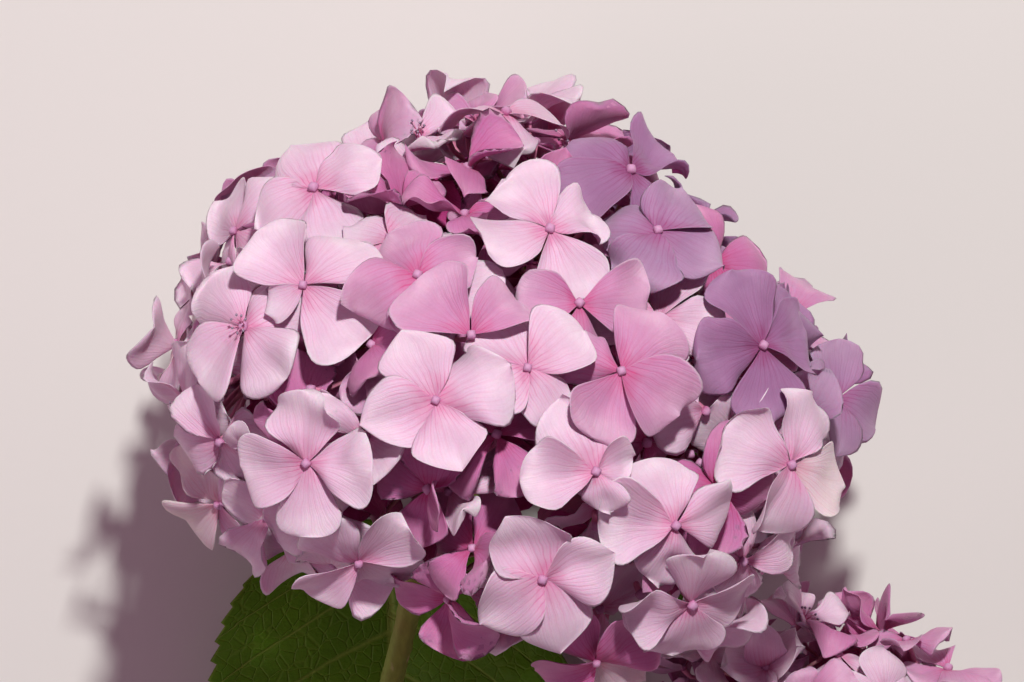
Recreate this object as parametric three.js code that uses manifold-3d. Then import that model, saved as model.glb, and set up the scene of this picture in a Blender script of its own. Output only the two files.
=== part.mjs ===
// A cut hydrangea branch lying on its side: a full mophead bloom on the main stem, a smaller
// bloom on a side shoot, and opposite pairs of leaves. Millimetres, +Z up, ground at z = 0.
// The branch lies along Y, with its flat cut end towards -Y.
import * as THREE from "three";
import { mergeVertices } from "three/addons/utils/BufferGeometryUtils.js";
import Module from "manifold-3d";

const wasm = await Module();
wasm.setup();

// Driving dimensions
const GAP = 0.3; // clear space between neighbouring pieces
const SINK = 1.5; // how far a floret's stalk is sunk into the ray that carries it
const GROUND_BAND = 6; // florets that would lie lower than this are pressed up by the ground
const GOLDEN_TURN = Math.PI * (3 - Math.sqrt(5));

const STEM = {
  cut: [-58, -232, 4.3], // centre of the cut end
  cutHeading: [0.13, 0.99, 0.03],
  neck: [-16.5, -34, 60], // where the bloom's own stalk takes over
  neckHeading: [0.22, 0.86, 0.46],
  cutRadius: 4.2,
  neckRadius: 2.4,
  nodeSwell: 1.1, // extra radius where a pair of leaves grows
  nodeSpread: 5, // length of that swelling along the stem
  upperNode: 0.93, // places of the two nodes along the stem
  lowerNode: 0.165,
  shootNode: 0.2, // the side shoot grows just above the lower right leaf
  sides: 10,
  steps: 26,
};

const SHOOT = {
  startHeading: [0.86, 0.5, 0.1],
  neckDepth: 0.8, // how far under the small head's middle the shoot ends, of the head's height
  rootRadius: 2.7,
  neckRadius: 1.8,
  nodeSwell: 0.7,
  nodeSpread: 4,
  node: 0.62,
  sides: 8,
  steps: 14,
};

// Florets that stand open on the side that faces up, as on the real head:
// lean from the head's axis, place around it from the top, and turn, in degrees.
const OPEN_FLORETS = [
  [40, -75, 45],
  [52, -48, 50],
  [65, -52, 50],
  [39, -28, 30],
  [46, -10, 55],
  [50, 3, 33],
  [21, 4, 27],
  [12, 90, 28],
  [23, 52, 50],
  [49, 22, 60],
  [49, 59, 3],
  [81, -29, 0],
  [60, -12, 25],
  [68, 17, 20],
  [79, 31, 12],
  [92, 11, 32],
  [72, 55, 70],
  [99, 37, 15],
  [117, 25, 60],
];

const LARGE_BLOOM = {
  centre: [3, 3, 80],
  lean: 28, // rise of the head's axis above level, degrees
  swing: 11.5, // turn of the axis to the right of +Y, degrees
  radius: 86, // from the axis out to the florets' centres
  height: 62, // half the head's depth along the axis
  rim: 118, // the florets reach this far round from the head's tip, degrees
  floret: [31, 37], // width of a floret
  spacings: [25.5, 22.5, 20],
  lift: [-6, 3], // florets stand in and out of the head's surface
  openFlorets: OPEN_FLORETS,
  rays: 22,
  neckRadius: 2.3,
  rayRadius: 1.3,
  stalkRadius: 0.75,
  seed: 2027,
};

// The smaller head is younger: the same rule with fewer, smaller florets.
const SMALL_BLOOM = {
  centre: [78.5, -94.5, 49],
  lean: 35,
  swing: 35,
  radius: 52,
  height: 39,
  rim: 116,
  floret: [25, 30],
  spacings: [22, 20, 18],
  lift: [-4, 2],
  openFlorets: [],
  rays: 12,
  neckRadius: 1.7,
  rayRadius: 1.1,
  stalkRadius: 0.65,
  seed: 811,
};

// Where the border between the two heads' spaces lies, as a share of the way from small to large.
const HEADS_BORDER = 0.42;

// How the florets of both heads stand and are shaped.
const FLORET = {
  places: 1597, // spots on a head that are tried, visited in strides so that they spread
  stride: 610,
  openTilt: 0.1, // most that an open floret leans from the head's surface, as a slope
  otherTilt: 0.4,
  droop: [0.02, 0.18], // fall of the sepals' tips, of the floret's width
  halfDepth: 0.8, // half the thickness at the middle
  // one sepal's outline from its notch: angle from its middle, share of its reach, share of its fall
  sepal: [
    [-45, 0.3, 0],
    [-34, 0.84, 0.3],
    [0, 1, 1],
    [34, 0.84, 0.3],
  ],
};

// The dense middle that rays and stalks stand out of, and how far out the rays fork.
const HEART = { size: 0.5, fork: 0.55, rayReach: 0.62 };

// Every blade has the same outline rule; each leaf has its own base, heading and size.
const BLADE = {
  stations: 16,
  columns: [-1, -0.5, 0, 0.5, 1], // places across the blade, in half widths
  thickness: 0.012, // of the blade's length
  widest: 0.7, // power that moves the widest place towards the base
  fullness: 0.75, // power that rounds the outline
  toothDepth: 0.08, // of the half width
  fold: 0.16, // rise of the margins above the midrib, of the half width
  ripple: 0.05, // waves along the margins, of the half width
  rib: 1.3, // depth of the midrib under the blade's base
  stalkRadius: 1.7,
};

const LEAVES = [
  {
    name: "upper_leaf_left",
    carrier: "stem",
    node: STEM.upperNode,
    side: -1,
    base: [-27, -30, 19],
    heading: 184, // degrees to the right of +Y
    length: 126,
    width: 92,
    bow: -5, // sideways bend of the midrib
    rest: 3.2, // height that the blade comes down to
    crest: 3, // rise of the blade between its ends
  },
  {
    name: "upper_leaf_right",
    carrier: "stem",
    node: STEM.upperNode,
    side: 1,
    base: [12, -33, 13],
    heading: 80,
    length: 70,
    width: 46,
    bow: 3,
    rest: 3.2,
    crest: 0,
  },
  {
    name: "lower_leaf_left",
    carrier: "stem",
    node: STEM.lowerNode,
    side: -1,
    base: [-76, -178, 12],
    heading: -56,
    length: 102,
    width: 76,
    bow: 6,
    rest: 3.2,
    crest: 10,
  },
  {
    name: "lower_leaf_right",
    carrier: "stem",
    node: STEM.lowerNode,
    side: 1,
    base: [-26, -204, 10],
    heading: 106,
    length: 96,
    width: 70,
    bow: -5,
    rest: 3.2,
    crest: 8,
  },
  {
    name: "shoot_leaf_left",
    carrier: "shoot",
    node: SHOOT.node,
    side: -1,
    base: [11, -138, 27],
    heading: -10,
    length: 52,
    width: 34,
    bow: 3,
    rest: 19,
    crest: 6,
  },
  {
    name: "shoot_leaf_right",
    carrier: "shoot",
    node: SHOOT.node,
    side: 1,
    base: [34, -168, 14],
    heading: 112,
    length: 62,
    width: 44,
    bow: -3,
    rest: 3.2,
    crest: 6,
  },
];

const PETAL_PINK = { color: 0xd58fc0, roughness: 0.6, metalness: 0 };
const STEM_GREEN = { color: 0x6d7a35, roughness: 0.6, metalness: 0 };
const LEAF_GREEN = { color: 0x3f6a22, roughness: 0.5, metalness: 0 };

// Small helpers
const vector = (place) => new THREE.Vector3(...place);
const radians = THREE.MathUtils.degToRad;
const mix = (range, share) => range[0] + (range[1] - range[0]) * share;

function seeded(seed) {
  let state = seed;
  return () => {
    state = (state * 48271) % 2147483647;
    return state / 2147483647;
  };
}

/** A point's height once the ground presses it up: it never reaches z = 0. */
function settledHeight(z) {
  return z < GROUND_BAND ? GROUND_BAND * Math.exp((z - GROUND_BAND) / GROUND_BAND) : z;
}

function settle(point) {
  point.z = settledHeight(point.z);
  return point;
}

// Solids
function solidFrom(points, faces) {
  return new wasm.Manifold(
    new wasm.Mesh({
      numProp: 3,
      vertProperties: Float32Array.from(points.flatMap((point) => point.toArray())),
      triVerts: Uint32Array.from(faces.flat()),
    }),
  );
}

/** One body out of many: what is fused, with sealed hollows filled and loose scraps dropped. */
function fuse(solids) {
  const bodies = wasm.Manifold.union(solids).decompose();
  return bodies.reduce((largest, body) => (body.volume() > largest.volume() ? body : largest));
}

function piece(name, solid, finish) {
  const { vertProperties, triVerts } = solid.getMesh();
  const geometry = new THREE.BufferGeometry();
  geometry.setAttribute("position", new THREE.BufferAttribute(vertProperties, 3));
  geometry.setIndex(new THREE.BufferAttribute(triVerts, 1));
  geometry.computeVertexNormals();
  const mesh = new THREE.Mesh(geometry, new THREE.MeshStandardMaterial(finish));
  mesh.name = name;
  return mesh;
}

/** A closed tube of rings along a curve; the radius is a function of the place along it. */
function limb(curve, radiusAt, sides, steps) {
  const frames = curve.computeFrenetFrames(steps, false);
  const points = [];
  const faces = [];
  for (let step = 0; step <= steps; step += 1) {
    const middle = curve.getPoint(step / steps);
    for (let side = 0; side < sides; side += 1) {
      const angle = (2 * Math.PI * side) / sides;
      const out = frames.normals[step].clone().multiplyScalar(Math.cos(angle));
      out.addScaledVector(frames.binormals[step], Math.sin(angle));
      points.push(middle.clone().addScaledVector(out, radiusAt(step / steps)));
    }
  }
  for (let step = 0; step < steps; step += 1) {
    for (let side = 0; side < sides; side += 1) {
      const here = step * sides + side;
      const beside = step * sides + ((side + 1) % sides);
      faces.push([here, beside, beside + sides], [here, beside + sides, here + sides]);
    }
  }
  const last = steps * sides;
  for (let side = 1; side < sides - 1; side += 1) {
    faces.push([0, side + 1, side], [last, last + side, last + side + 1]);
  }
  return solidFrom(points, faces);
}

/** A three-sided twig that tapers from one point to another. */
function twig(from, to, fromRadius, toRadius) {
  const line = new THREE.LineCurve3(from, to);
  return limb(line, (along) => THREE.MathUtils.lerp(fromRadius, toRadius, along), 3, 1);
}

/** A smooth curve that leaves one point in one heading and reaches another in the other heading. */
function bend(from, fromHeading, to, toHeading) {
  const reach = from.distanceTo(to) / 3;
  const out = from.clone().addScaledVector(fromHeading.clone().normalize(), reach);
  const back = to.clone().addScaledVector(toHeading.clone().normalize(), -reach);
  return new THREE.CubicBezierCurve3(from, out, back, to);
}

/** A tapering radius with a swelling at each node. */
function taper(fromRadius, toRadius, nodes, swell, spread, length) {
  return (along) => {
    let radius = THREE.MathUtils.lerp(fromRadius, toRadius, along);
    for (const node of nodes) {
      const away = ((along - node) * length) / spread;
      radius += swell * Math.exp(-away * away);
    }
    return radius;
  };
}

// Stems
function headFrame(bloom) {
  const lean = radians(bloom.lean);
  const swing = radians(bloom.swing);
  const axis = new THREE.Vector3(
    Math.sin(swing) * Math.cos(lean),
    Math.cos(swing) * Math.cos(lean),
    Math.sin(lean),
  );
  const right = new THREE.Vector3(Math.cos(swing), -Math.sin(swing), 0);
  const up = right.clone().cross(axis);
  return { centre: vector(bloom.centre), axis, right, up };
}

const stemCurve = bend(
  vector(STEM.cut),
  vector(STEM.cutHeading),
  vector(STEM.neck),
  vector(STEM.neckHeading),
);
const stemRadius = taper(
  STEM.cutRadius,
  STEM.neckRadius,
  [STEM.lowerNode, STEM.upperNode],
  STEM.nodeSwell,
  STEM.nodeSpread,
  stemCurve.getLength(),
);

const smallHead = headFrame(SMALL_BLOOM);
const shootNeck = smallHead.centre.clone();
shootNeck.addScaledVector(smallHead.axis, -SHOOT.neckDepth * SMALL_BLOOM.height);
const shootCurve = bend(
  stemCurve.getPoint(STEM.shootNode),
  vector(SHOOT.startHeading),
  shootNeck,
  smallHead.axis,
);
const shootRadius = taper(
  SHOOT.rootRadius,
  SHOOT.neckRadius,
  [SHOOT.node],
  SHOOT.nodeSwell,
  SHOOT.nodeSpread,
  shootCurve.getLength(),
);

const mainStem = limb(stemCurve, stemRadius, STEM.sides, STEM.steps);
const stemWithGap = limb(stemCurve, (along) => stemRadius(along) + GAP, STEM.sides, STEM.steps);
const sideShoot = fuse([
  limb(shootCurve, shootRadius, SHOOT.sides, SHOOT.steps).subtract(stemWithGap),
]);
const shootWithGap = limb(
  shootCurve,
  (along) => shootRadius(along) + GAP,
  SHOOT.sides,
  SHOOT.steps,
);

// Blooms
/** The lean of one of many spots that share a head's surface evenly. */
function evenLean(bloom, index, count) {
  const share = (index + 0.5) / count;
  return Math.acos(1 - share * (1 - Math.cos(radians(bloom.rim))));
}

/** A place on the head's surface, from its lean off the axis and its place around it. */
function onHead(bloom, head, lean, around) {
  const side = head.up.clone().multiplyScalar(Math.cos(around));
  side.addScaledVector(head.right, Math.sin(around));
  const point = head.centre.clone();
  point.addScaledVector(head.axis, bloom.height * Math.cos(lean));
  point.addScaledVector(side, bloom.radius * Math.sin(lean));
  const outward = head.axis.clone().multiplyScalar(Math.cos(lean) / bloom.height);
  outward.addScaledVector(side, Math.sin(lean) / bloom.radius).normalize();
  return { point, outward };
}

/** Where the florets stand: the open ones first, then any spot that keeps its distance. */
function spreadFlorets(bloom, head) {
  const florets = bloom.openFlorets.map(([lean, around, turn]) => ({
    ...onHead(bloom, head, radians(lean), radians(around)),
    turn: radians(turn),
  }));
  for (const spacing of bloom.spacings) {
    for (let visit = 0; visit < FLORET.places; visit += 1) {
      const index = (visit * FLORET.stride) % FLORET.places;
      const spot = onHead(bloom, head, evenLean(bloom, index, FLORET.places), index * GOLDEN_TURN);
      if (florets.every((floret) => floret.point.distanceTo(spot.point) > spacing)) {
        florets.push({ ...spot, turn: null });
      }
    }
  }
  return florets;
}

/** Gives each floret its width, depth, tilt, turn and droop by the seeded rule. */
function poseFlorets(bloom, head) {
  const random = seeded(bloom.seed);
  const nearlyY = new THREE.Vector3(0.05, 1, 0.03);
  return spreadFlorets(bloom, head).map(({ point, outward, turn }) => {
    const open = turn !== null;
    const width = mix(bloom.floret, open ? 0.6 + 0.4 * random() : random());
    const lift = mix(bloom.lift, open ? 0.8 + 0.2 * random() : random());
    const mostTilt = open ? FLORET.openTilt : FLORET.otherTilt;
    const tiltAcross = mix([-mostTilt, mostTilt], random());
    const tiltAlong = mix([-mostTilt, mostTilt], random());
    const seededTurn = random() * 0.5 * Math.PI;
    const droop = mix(FLORET.droop, random()) * width;
    const across = nearlyY.clone().cross(outward).normalize();
    const along = outward.clone().cross(across);
    const facing = outward.clone().addScaledVector(across, tiltAcross);
    facing.addScaledVector(along, tiltAlong).normalize();
    const first = along.clone().cross(facing).normalize();
    const second = facing.clone().cross(first);
    const centre = settle(point.clone().addScaledVector(outward, lift));
    return { centre, facing, first, second, width, turn: open ? turn : seededTurn, droop };
  });
}

/** A point of a floret's own plane, from an angle and a distance off its middle. */
function besideFloret(floret, middle, angle, distance) {
  const point = middle.clone().addScaledVector(floret.first, distance * Math.cos(angle));
  return point.addScaledVector(floret.second, distance * Math.sin(angle));
}

/** The outline of a floret's four sepals. */
function floretOutline(floret) {
  const outline = [];
  for (let sepal = 0; sepal < 4; sepal += 1) {
    for (const [angle, reach, fall] of FLORET.sepal) {
      const direction = floret.turn + radians(90 * sepal + angle);
      const point = besideFloret(floret, floret.centre, direction, 0.5 * floret.width * reach);
      outline.push(settle(point.addScaledVector(floret.facing, -floret.droop * fall)));
    }
  }
  return outline;
}

/** Four thin sepals and their three-sided stalk, one body from the root up to the sharp rims. */
function floretSolid(floret, outline, root, stalkRadius) {
  const rim = outline.length;
  const above = floret.centre.clone().addScaledVector(floret.facing, FLORET.halfDepth);
  const below = floret.centre.clone().addScaledVector(floret.facing, -FLORET.halfDepth);
  const corners = [15, 135, 255].map((angle) => floret.turn + radians(angle));
  const ring = (middle) =>
    corners.map((angle) => besideFloret(floret, middle, angle, stalkRadius));
  const points = [...outline, above, ...ring(below), ...ring(root)];
  const collar = (index) => rim + 1 + Math.floor((3 * (index % rim)) / rim);
  const faces = [];
  for (let index = 0; index < rim; index += 1) {
    const next = (index + 1) % rim;
    faces.push([rim, index, next], [collar(index), next, index]);
    if (collar(next) !== collar(index)) faces.push([collar(index), collar(next), next]);
  }
  for (let corner = 0; corner < 3; corner += 1) {
    const here = rim + 1 + corner;
    const beside = rim + 1 + ((corner + 1) % 3);
    faces.push([here, here + 3, beside + 3], [here, beside + 3, beside]);
  }
  faces.push([rim + 4, rim + 6, rim + 5]);
  return solidFrom(points, faces);
}

/** The head's dense middle. */
function heartSolid(bloom, head) {
  const bare = new THREE.IcosahedronGeometry(1, 2);
  bare.deleteAttribute("normal");
  bare.deleteAttribute("uv");
  const sphere = mergeVertices(bare);
  const place = sphere.getAttribute("position");
  const corner = sphere.getIndex();
  const points = [];
  const faces = [];
  for (let index = 0; index < place.count; index += 1) {
    const point = head.centre.clone();
    point.addScaledVector(head.right, place.getX(index) * HEART.size * bloom.radius);
    point.addScaledVector(head.axis, place.getY(index) * HEART.size * bloom.height);
    point.addScaledVector(head.up, place.getZ(index) * HEART.size * bloom.radius);
    points.push(point);
  }
  for (let index = 0; index < corner.count; index += 3) {
    faces.push([corner.getX(index), corner.getX(index + 1), corner.getX(index + 2)]);
  }
  return solidFrom(points, faces);
}

/** A head of florets on stalks that branch from rays, which spread from the stem's end. */
function bloomSolid(bloom, head, carrier, keepsToItsSpace) {
  const fork = head.centre.clone().addScaledVector(head.axis, -HEART.fork * bloom.height);
  const heading = carrier.getTangent(1);
  const neck = carrier.getPoint(1).addScaledVector(heading, GAP);
  const parts = [
    limb(bend(neck, heading, fork, head.axis), () => bloom.neckRadius, 8, 4),
    heartSolid(bloom, head),
  ];
  const rayTips = [];
  for (let ray = 0; ray < bloom.rays; ray += 1) {
    const { point } = onHead(bloom, head, evenLean(bloom, ray, bloom.rays), ray * GOLDEN_TURN);
    const tip = settle(head.centre.clone().lerp(point, HEART.rayReach));
    rayTips.push(tip);
    parts.push(twig(fork, tip, 1.3 * bloom.rayRadius, bloom.rayRadius));
  }
  for (const floret of poseFlorets(bloom, head)) {
    const outline = floretOutline(floret);
    if (!outline.every(keepsToItsSpace)) continue;
    const distance = (tip) => tip.distanceTo(floret.centre);
    const tip = rayTips.reduce((nearest, other) =>
      distance(other) < distance(nearest) ? other : nearest,
    );
    const inward = fork.clone().sub(tip).normalize();
    const root = tip.clone().addScaledVector(inward, SINK);
    parts.push(floretSolid(floret, outline, root, bloom.stalkRadius));
  }
  return fuse(parts);
}

// Leaves
/** The midrib of a leaf's blade, from its base down to where the blade rests. */
function midribPoint(leaf, along) {
  const heading = radians(leaf.heading);
  const sideways = leaf.bow * Math.sin(Math.PI * along);
  const drop = (leaf.base[2] - leaf.rest) * (1 - along) ** 3;
  return new THREE.Vector3(
    leaf.base[0] + leaf.length * along * Math.sin(heading) + sideways * Math.cos(heading),
    leaf.base[1] + leaf.length * along * Math.cos(heading) - sideways * Math.sin(heading),
    leaf.rest + drop + leaf.crest * Math.sin(Math.PI * along) ** 2,
  );
}

function halfWidth(leaf, along) {
  const outline = Math.sin(Math.PI * along ** BLADE.widest) ** BLADE.fullness;
  return 0.5 * leaf.width * outline;
}

/** The toothed blade: an upper and a lower skin that meet in a sharp margin. */
function bladeSolid(leaf) {
  const { stations, columns } = BLADE;
  const heading = radians(leaf.heading);
  const side = new THREE.Vector3(Math.cos(heading), -Math.sin(heading), 0);
  const points = [];
  const faces = [];
  const upper = [];
  const lower = [];
  const ends = [0, 1].map((along) => points.push(midribPoint(leaf, along)) - 1);
  for (let station = 1; station < stations; station += 1) {
    const along = station / stations;
    const tooth = station % 2 === 0 ? 1 : 1 - BLADE.toothDepth;
    const half = halfWidth(leaf, along);
    const thickness = BLADE.thickness * leaf.length;
    const upperRow = [];
    const lowerRow = [];
    for (const column of columns) {
      const margin = Math.abs(column) === 1;
      const out = half * column * (margin ? tooth : 1);
      const rise = half * (BLADE.fold * Math.abs(column) + BLADE.ripple * column * Math.sin(9 * along));
      const point = midribPoint(leaf, along).addScaledVector(side, out);
      point.z += rise;
      upperRow.push(points.push(point) - 1);
      const under = point.clone();
      under.z -= thickness * (1 - column * column) + (column === 0 ? BLADE.rib * (1 - along) : 0);
      lowerRow.push(margin ? upperRow.at(-1) : points.push(under) - 1);
    }
    upper.push(upperRow);
    lower.push(lowerRow);
  }
  const skin = (rows, flip) => {
    const add = (a, b, c) => faces.push(flip ? [a, c, b] : [a, b, c]);
    for (let column = 0; column < columns.length - 1; column += 1) {
      add(ends[0], rows[0][column + 1], rows[0][column]);
      add(ends[1], rows.at(-1)[column], rows.at(-1)[column + 1]);
      for (let row = 0; row < rows.length - 1; row += 1) {
        const [near, far] = [rows[row], rows[row + 1]];
        add(near[column], near[column + 1], far[column + 1]);
        add(near[column], far[column + 1], far[column]);
      }
    }
  };
  skin(upper, false);
  skin(lower, true);
  return solidFrom(points, faces);
}

/** A leaf with its stalk and midrib; the stalk stops just short of the stem it grows from. */
function leafSolid(leaf, carrier, carrierWithGap) {
  const from = carrier.getPoint(leaf.node);
  const base = midribPoint(leaf, 0);
  const onward = midribPoint(leaf, 0.05).sub(base).normalize();
  const tangent = carrier.getTangent(leaf.node);
  const outward = tangent.clone().cross(new THREE.Vector3(0, 0, leaf.side)).addScaledVector(tangent, 0.3);
  const stalk = bend(from, outward, base.clone().addScaledVector(onward, 5), onward);
  const stalkWidth = (along) => THREE.MathUtils.lerp(BLADE.stalkRadius, BLADE.rib, along);
  return fuse([
    limb(stalk, stalkWidth, 6, 6).subtract(carrierWithGap),
    bladeSolid(leaf),
  ]);
}

// The branch
const largeHead = headFrame(LARGE_BLOOM);
const towardsLarge = largeHead.centre.clone().sub(smallHead.centre);
const border = smallHead.centre.clone().addScaledVector(towardsLarge, HEADS_BORDER);
const borderPlane = new THREE.Plane().setFromNormalAndCoplanarPoint(
  towardsLarge.clone().normalize(),
  border,
);
const onLargeSide = (point) => borderPlane.distanceToPoint(point) > GAP;
const onSmallSide = (point) => borderPlane.distanceToPoint(point) < -GAP;
const largeBloom = bloomSolid(LARGE_BLOOM, largeHead, stemCurve, onLargeSide);
const smallBloom = bloomSolid(SMALL_BLOOM, smallHead, shootCurve, onSmallSide);

const branch = new THREE.Group();
branch.add(piece("main_stem", mainStem, STEM_GREEN));
branch.add(piece("side_shoot", sideShoot, STEM_GREEN));
branch.add(piece("large_bloom", largeBloom, PETAL_PINK));
branch.add(piece("small_bloom", smallBloom, PETAL_PINK));
const carriers = {
  stem: [stemCurve, stemWithGap],
  shoot: [shootCurve, shootWithGap],
};
for (const leaf of LEAVES) {
  branch.add(piece(leaf.name, leafSolid(leaf, ...carriers[leaf.carrier]), LEAF_GREEN));
}

// The origin is under the middle of the branch, on the ground.
const extent = new THREE.Box3().setFromObject(branch);
const middle = extent.getCenter(new THREE.Vector3());
branch.position.set(-middle.x, -middle.y, -extent.min.z);
export default branch;
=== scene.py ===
# A cut hydrangea branch on a pale floor, seen from above: two mophead blooms of pink florets, a
# stem with a side shoot, and three pairs of toothed leaves. The shapes are worked out in the
# branch's own millimetres, by the rules that it grows by, and then carried into the frame's metres.
import math

import bpy
import numpy as np
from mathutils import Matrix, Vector
from mathutils.bvhtree import BVHTree


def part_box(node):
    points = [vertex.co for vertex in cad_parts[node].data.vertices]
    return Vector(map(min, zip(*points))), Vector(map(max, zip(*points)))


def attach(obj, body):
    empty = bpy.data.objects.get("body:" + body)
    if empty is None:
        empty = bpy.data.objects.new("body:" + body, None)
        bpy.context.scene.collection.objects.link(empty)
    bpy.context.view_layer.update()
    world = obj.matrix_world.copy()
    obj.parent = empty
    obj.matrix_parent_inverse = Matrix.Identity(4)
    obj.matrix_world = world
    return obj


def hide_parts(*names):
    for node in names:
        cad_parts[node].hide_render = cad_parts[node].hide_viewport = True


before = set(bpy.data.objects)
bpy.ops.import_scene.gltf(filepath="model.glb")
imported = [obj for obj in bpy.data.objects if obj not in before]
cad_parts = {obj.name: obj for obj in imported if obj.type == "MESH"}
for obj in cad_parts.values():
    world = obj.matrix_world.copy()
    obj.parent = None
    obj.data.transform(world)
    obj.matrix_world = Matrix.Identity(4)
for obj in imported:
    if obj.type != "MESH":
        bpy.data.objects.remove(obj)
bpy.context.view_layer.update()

# Driving dimensions, in millimetres unless a comment says otherwise
METRES = 0.001
GROUND_BAND = 6.0  # what would lie lower than this is pressed up by the ground
GOLDEN_TURN = math.pi * (3 - math.sqrt(5))

STEM = {
    "name": "main_stem",
    "cut": (-58, -232, 4.3),
    "cut_heading": (0.13, 0.99, 0.03),
    "neck": (-16.5, -34, 60),
    "neck_heading": (0.22, 0.86, 0.46),
    "cut_radius": 4.2,
    "neck_radius": 2.4,
    "node_swell": 1.1,
    "node_spread": 5,
    "flare": 0.0,
    "upper_node": 0.93,  # places of the nodes along the stem
    "lower_node": 0.165,
    "shoot_node": 0.2,
}

SHOOT = {
    "name": "side_shoot",
    "start_heading": (0.86, 0.5, 0.1),
    "neck_depth": 0.8,  # how far under the small head's middle it ends, of the head's height
    "root_radius": 2.7,
    "neck_radius": 1.8,
    "node_swell": 0.7,
    "node_spread": 4,
    "flare": 1.0,  # how much it widens at its root
    "node": 0.62,
}

# Florets that stand open on the side that faces up: lean from the head's axis, place around it
# from the top, and turn, in degrees.
OPEN_FLORETS = (
    (40, -75, 45),
    (52, -48, 50),
    (65, -52, 50),
    (39, -28, 30),
    (46, -10, 55),
    (50, 3, 33),
    (21, 4, 27),
    (12, 90, 28),
    (23, 52, 50),
    (49, 22, 60),
    (49, 59, 3),
    (81, -29, 0),
    (60, -12, 25),
    (68, 17, 20),
    (79, 31, 12),
    (92, 11, 32),
    (72, 55, 70),
    (99, 37, 15),
    (117, 25, 60),
)

LARGE_BLOOM = {
    "name": "large_bloom",
    "centre": (3, 3, 80),
    "lean": 28,  # rise of the head's axis above level, degrees
    "swing": 11.5,  # turn of the axis to the right of +Y, degrees
    "radius": 86,
    "height": 62,
    "rim": 118,  # degrees from the head's tip
    "floret": (31, 37),
    "spacings": (25.5, 22.5, 20),
    "lift": (-6, 3),
    "open_florets": OPEN_FLORETS,
    "rays": 22,
    "neck_radius": 2.3,
    "ray_radius": 1.2,
    "stalk_radius": 0.6,
    "bead_radius": 1.2,
    "seed": 2027,
    "under_layer": (0.93, 18.5),  # share of the head's size, and spacing
    "inner_layers": ((0.8, 19), (0.64, 22)),
    "buds": 80,
    "pale_above": (0.65, 0.25),  # draws above which a floret is pale, near the middle and far from it
    "rose_above": 0.9,
    "proud": 4.5,  # how far sepals may stand out of the head's surface
    # Where the head has grown more or less: heading, height, and spread in degrees.
    "swells": (((60, 46, -8), -15, 26), ((16, 76, 0), 9, 28), ((-60, -52, 4), 11, 24)),
}

SMALL_BLOOM = {
    "name": "small_bloom",
    "centre": (78.5, -94.5, 49),
    "lean": 35,
    "swing": 35,
    "radius": 52,
    "height": 39,
    "rim": 116,
    "floret": (25, 30),
    "spacings": (22, 20, 18),
    "lift": (-4, 2),
    "open_florets": (),
    "rays": 12,
    "neck_radius": 1.7,
    "ray_radius": 1.0,
    "stalk_radius": 0.5,
    "bead_radius": 1.15,
    "seed": 811,
    "under_layer": (0.9, 17),
    "inner_layers": ((0.74, 16), (0.55, 18)),
    "buds": 40,
    # More florets are pale here than on the large bloom, as painted light against the large head's shadow.
    "pale_above": (0.35, 0.35),
    "rose_above": 0.88,
    "proud": 6,
    "swells": (((1, 0.45, 0.1), 9, 34),),
}

PAINTED_SHADE_SIDE = 37  # how far to the upper right of its middle the large bloom's florets turn mauve and lilac, as painted shade
PAINTED_SHADE_TOP = 55  # and how far up they still do
PALE_FROM = 38  # how far from its middle most of them are pale: partly their own paler tone, partly painted light on the head's sides
PALE_BELOW = -17  # how far down all are, the same mix of own tone and painted light
PALE_LEFT = -54  # and how far to the left
ROSE_FROM = 14  # how far to the right some low ones are rose
PAINTED_SHADE_LILAC_BELOW = 0.36  # draws below which the florets in painted shade are lilac, and above which they stay fresh
FRESH_ABOVE = 0.86
LOW_ROSE_BELOW = 0.3  # the same for rose among the low ones, and in the layer under the outer one, where the rose is painted shade
UNDER_PAINTED_SHADE_BELOW = 0.5
PAINTED_SHADE_WITHIN = 0.72  # share of a head's radius within which many of the lower florets are rose, as painted shade
CREAM_FROM = 0.9  # and beyond which some sepals are cream
CREAM_BELOW = 0.16
HEADS_BORDER = 0.42  # where the two heads' spaces meet, of the way from small to large
BORDER_CLEARANCE = 0.3
FLORET_PLACES = 1597
FLORET_STRIDE = 610
OPEN_TILT = 0.1
OTHER_TILT = 0.4
DROOP = (0.02, 0.18)
SEPAL_OUTLINE = ((-45, 0.3, 0), (-34, 0.84, 0.3), (0, 1, 1), (34, 0.84, 0.3))
RAY_FORK = 0.55
RAY_REACH = 0.62
STALK_GIRTH = (1.25, 1.0, 0.95, 0.9, 0.9, 0.95, 1.1, 1.5)  # along a floret's stalk, of its radius
NECK_GIRTH = (1.02, 1, 0.98, 0.98, 1, 1.02, 1.1, 1.25, 1.2)

# The sepals' own finer shape: places of the columns across one, in half widths, and its stations.
FINE_COLUMNS = (0, 0.14, 0.38, 0.62, 0.83, 0.95, 1)
MIDDLING_COLUMNS = (0, 0.3, 0.62, 0.88, 1)
PLAIN_COLUMNS = (0, 0.45, 0.85, 1)
FINE_STATIONS = 22
MIDDLING_STATIONS = 12
PLAIN_STATIONS = 7
SEPAL_THICKNESS = 0.3
SEPAL_CLEARANCE = 1.3  # between neighbouring florets' sepals where they pass over each other
CHART_CELLS = 4  # the chart of all sepals is a square of this many cells a side
CHART_EDGE = 0.04  # bare edge of a cell
FRONT_CELLS = 12  # the cells that show sepals from the front; the rest show the back
CAP_PLACES = (0.05, 0.95)  # places up the chart of a round body's two caps
SHOULDER = (0.66, 0.17)  # where along a sepal its shoulders are, and how far they spread
SCALLOP = 0.05  # depth of the shallow waves in its margin, of its half width
KEEL_SPREAD = 0.16
EDGE_THINNING = 0.45
FOLDED_UP = 0.2  # share of the sepals that stand up
POINTED = 0.28  # share of the florets whose sepals are pointed
CLOSING = 0.26  # share of the florets in sight that are half closed
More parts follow.
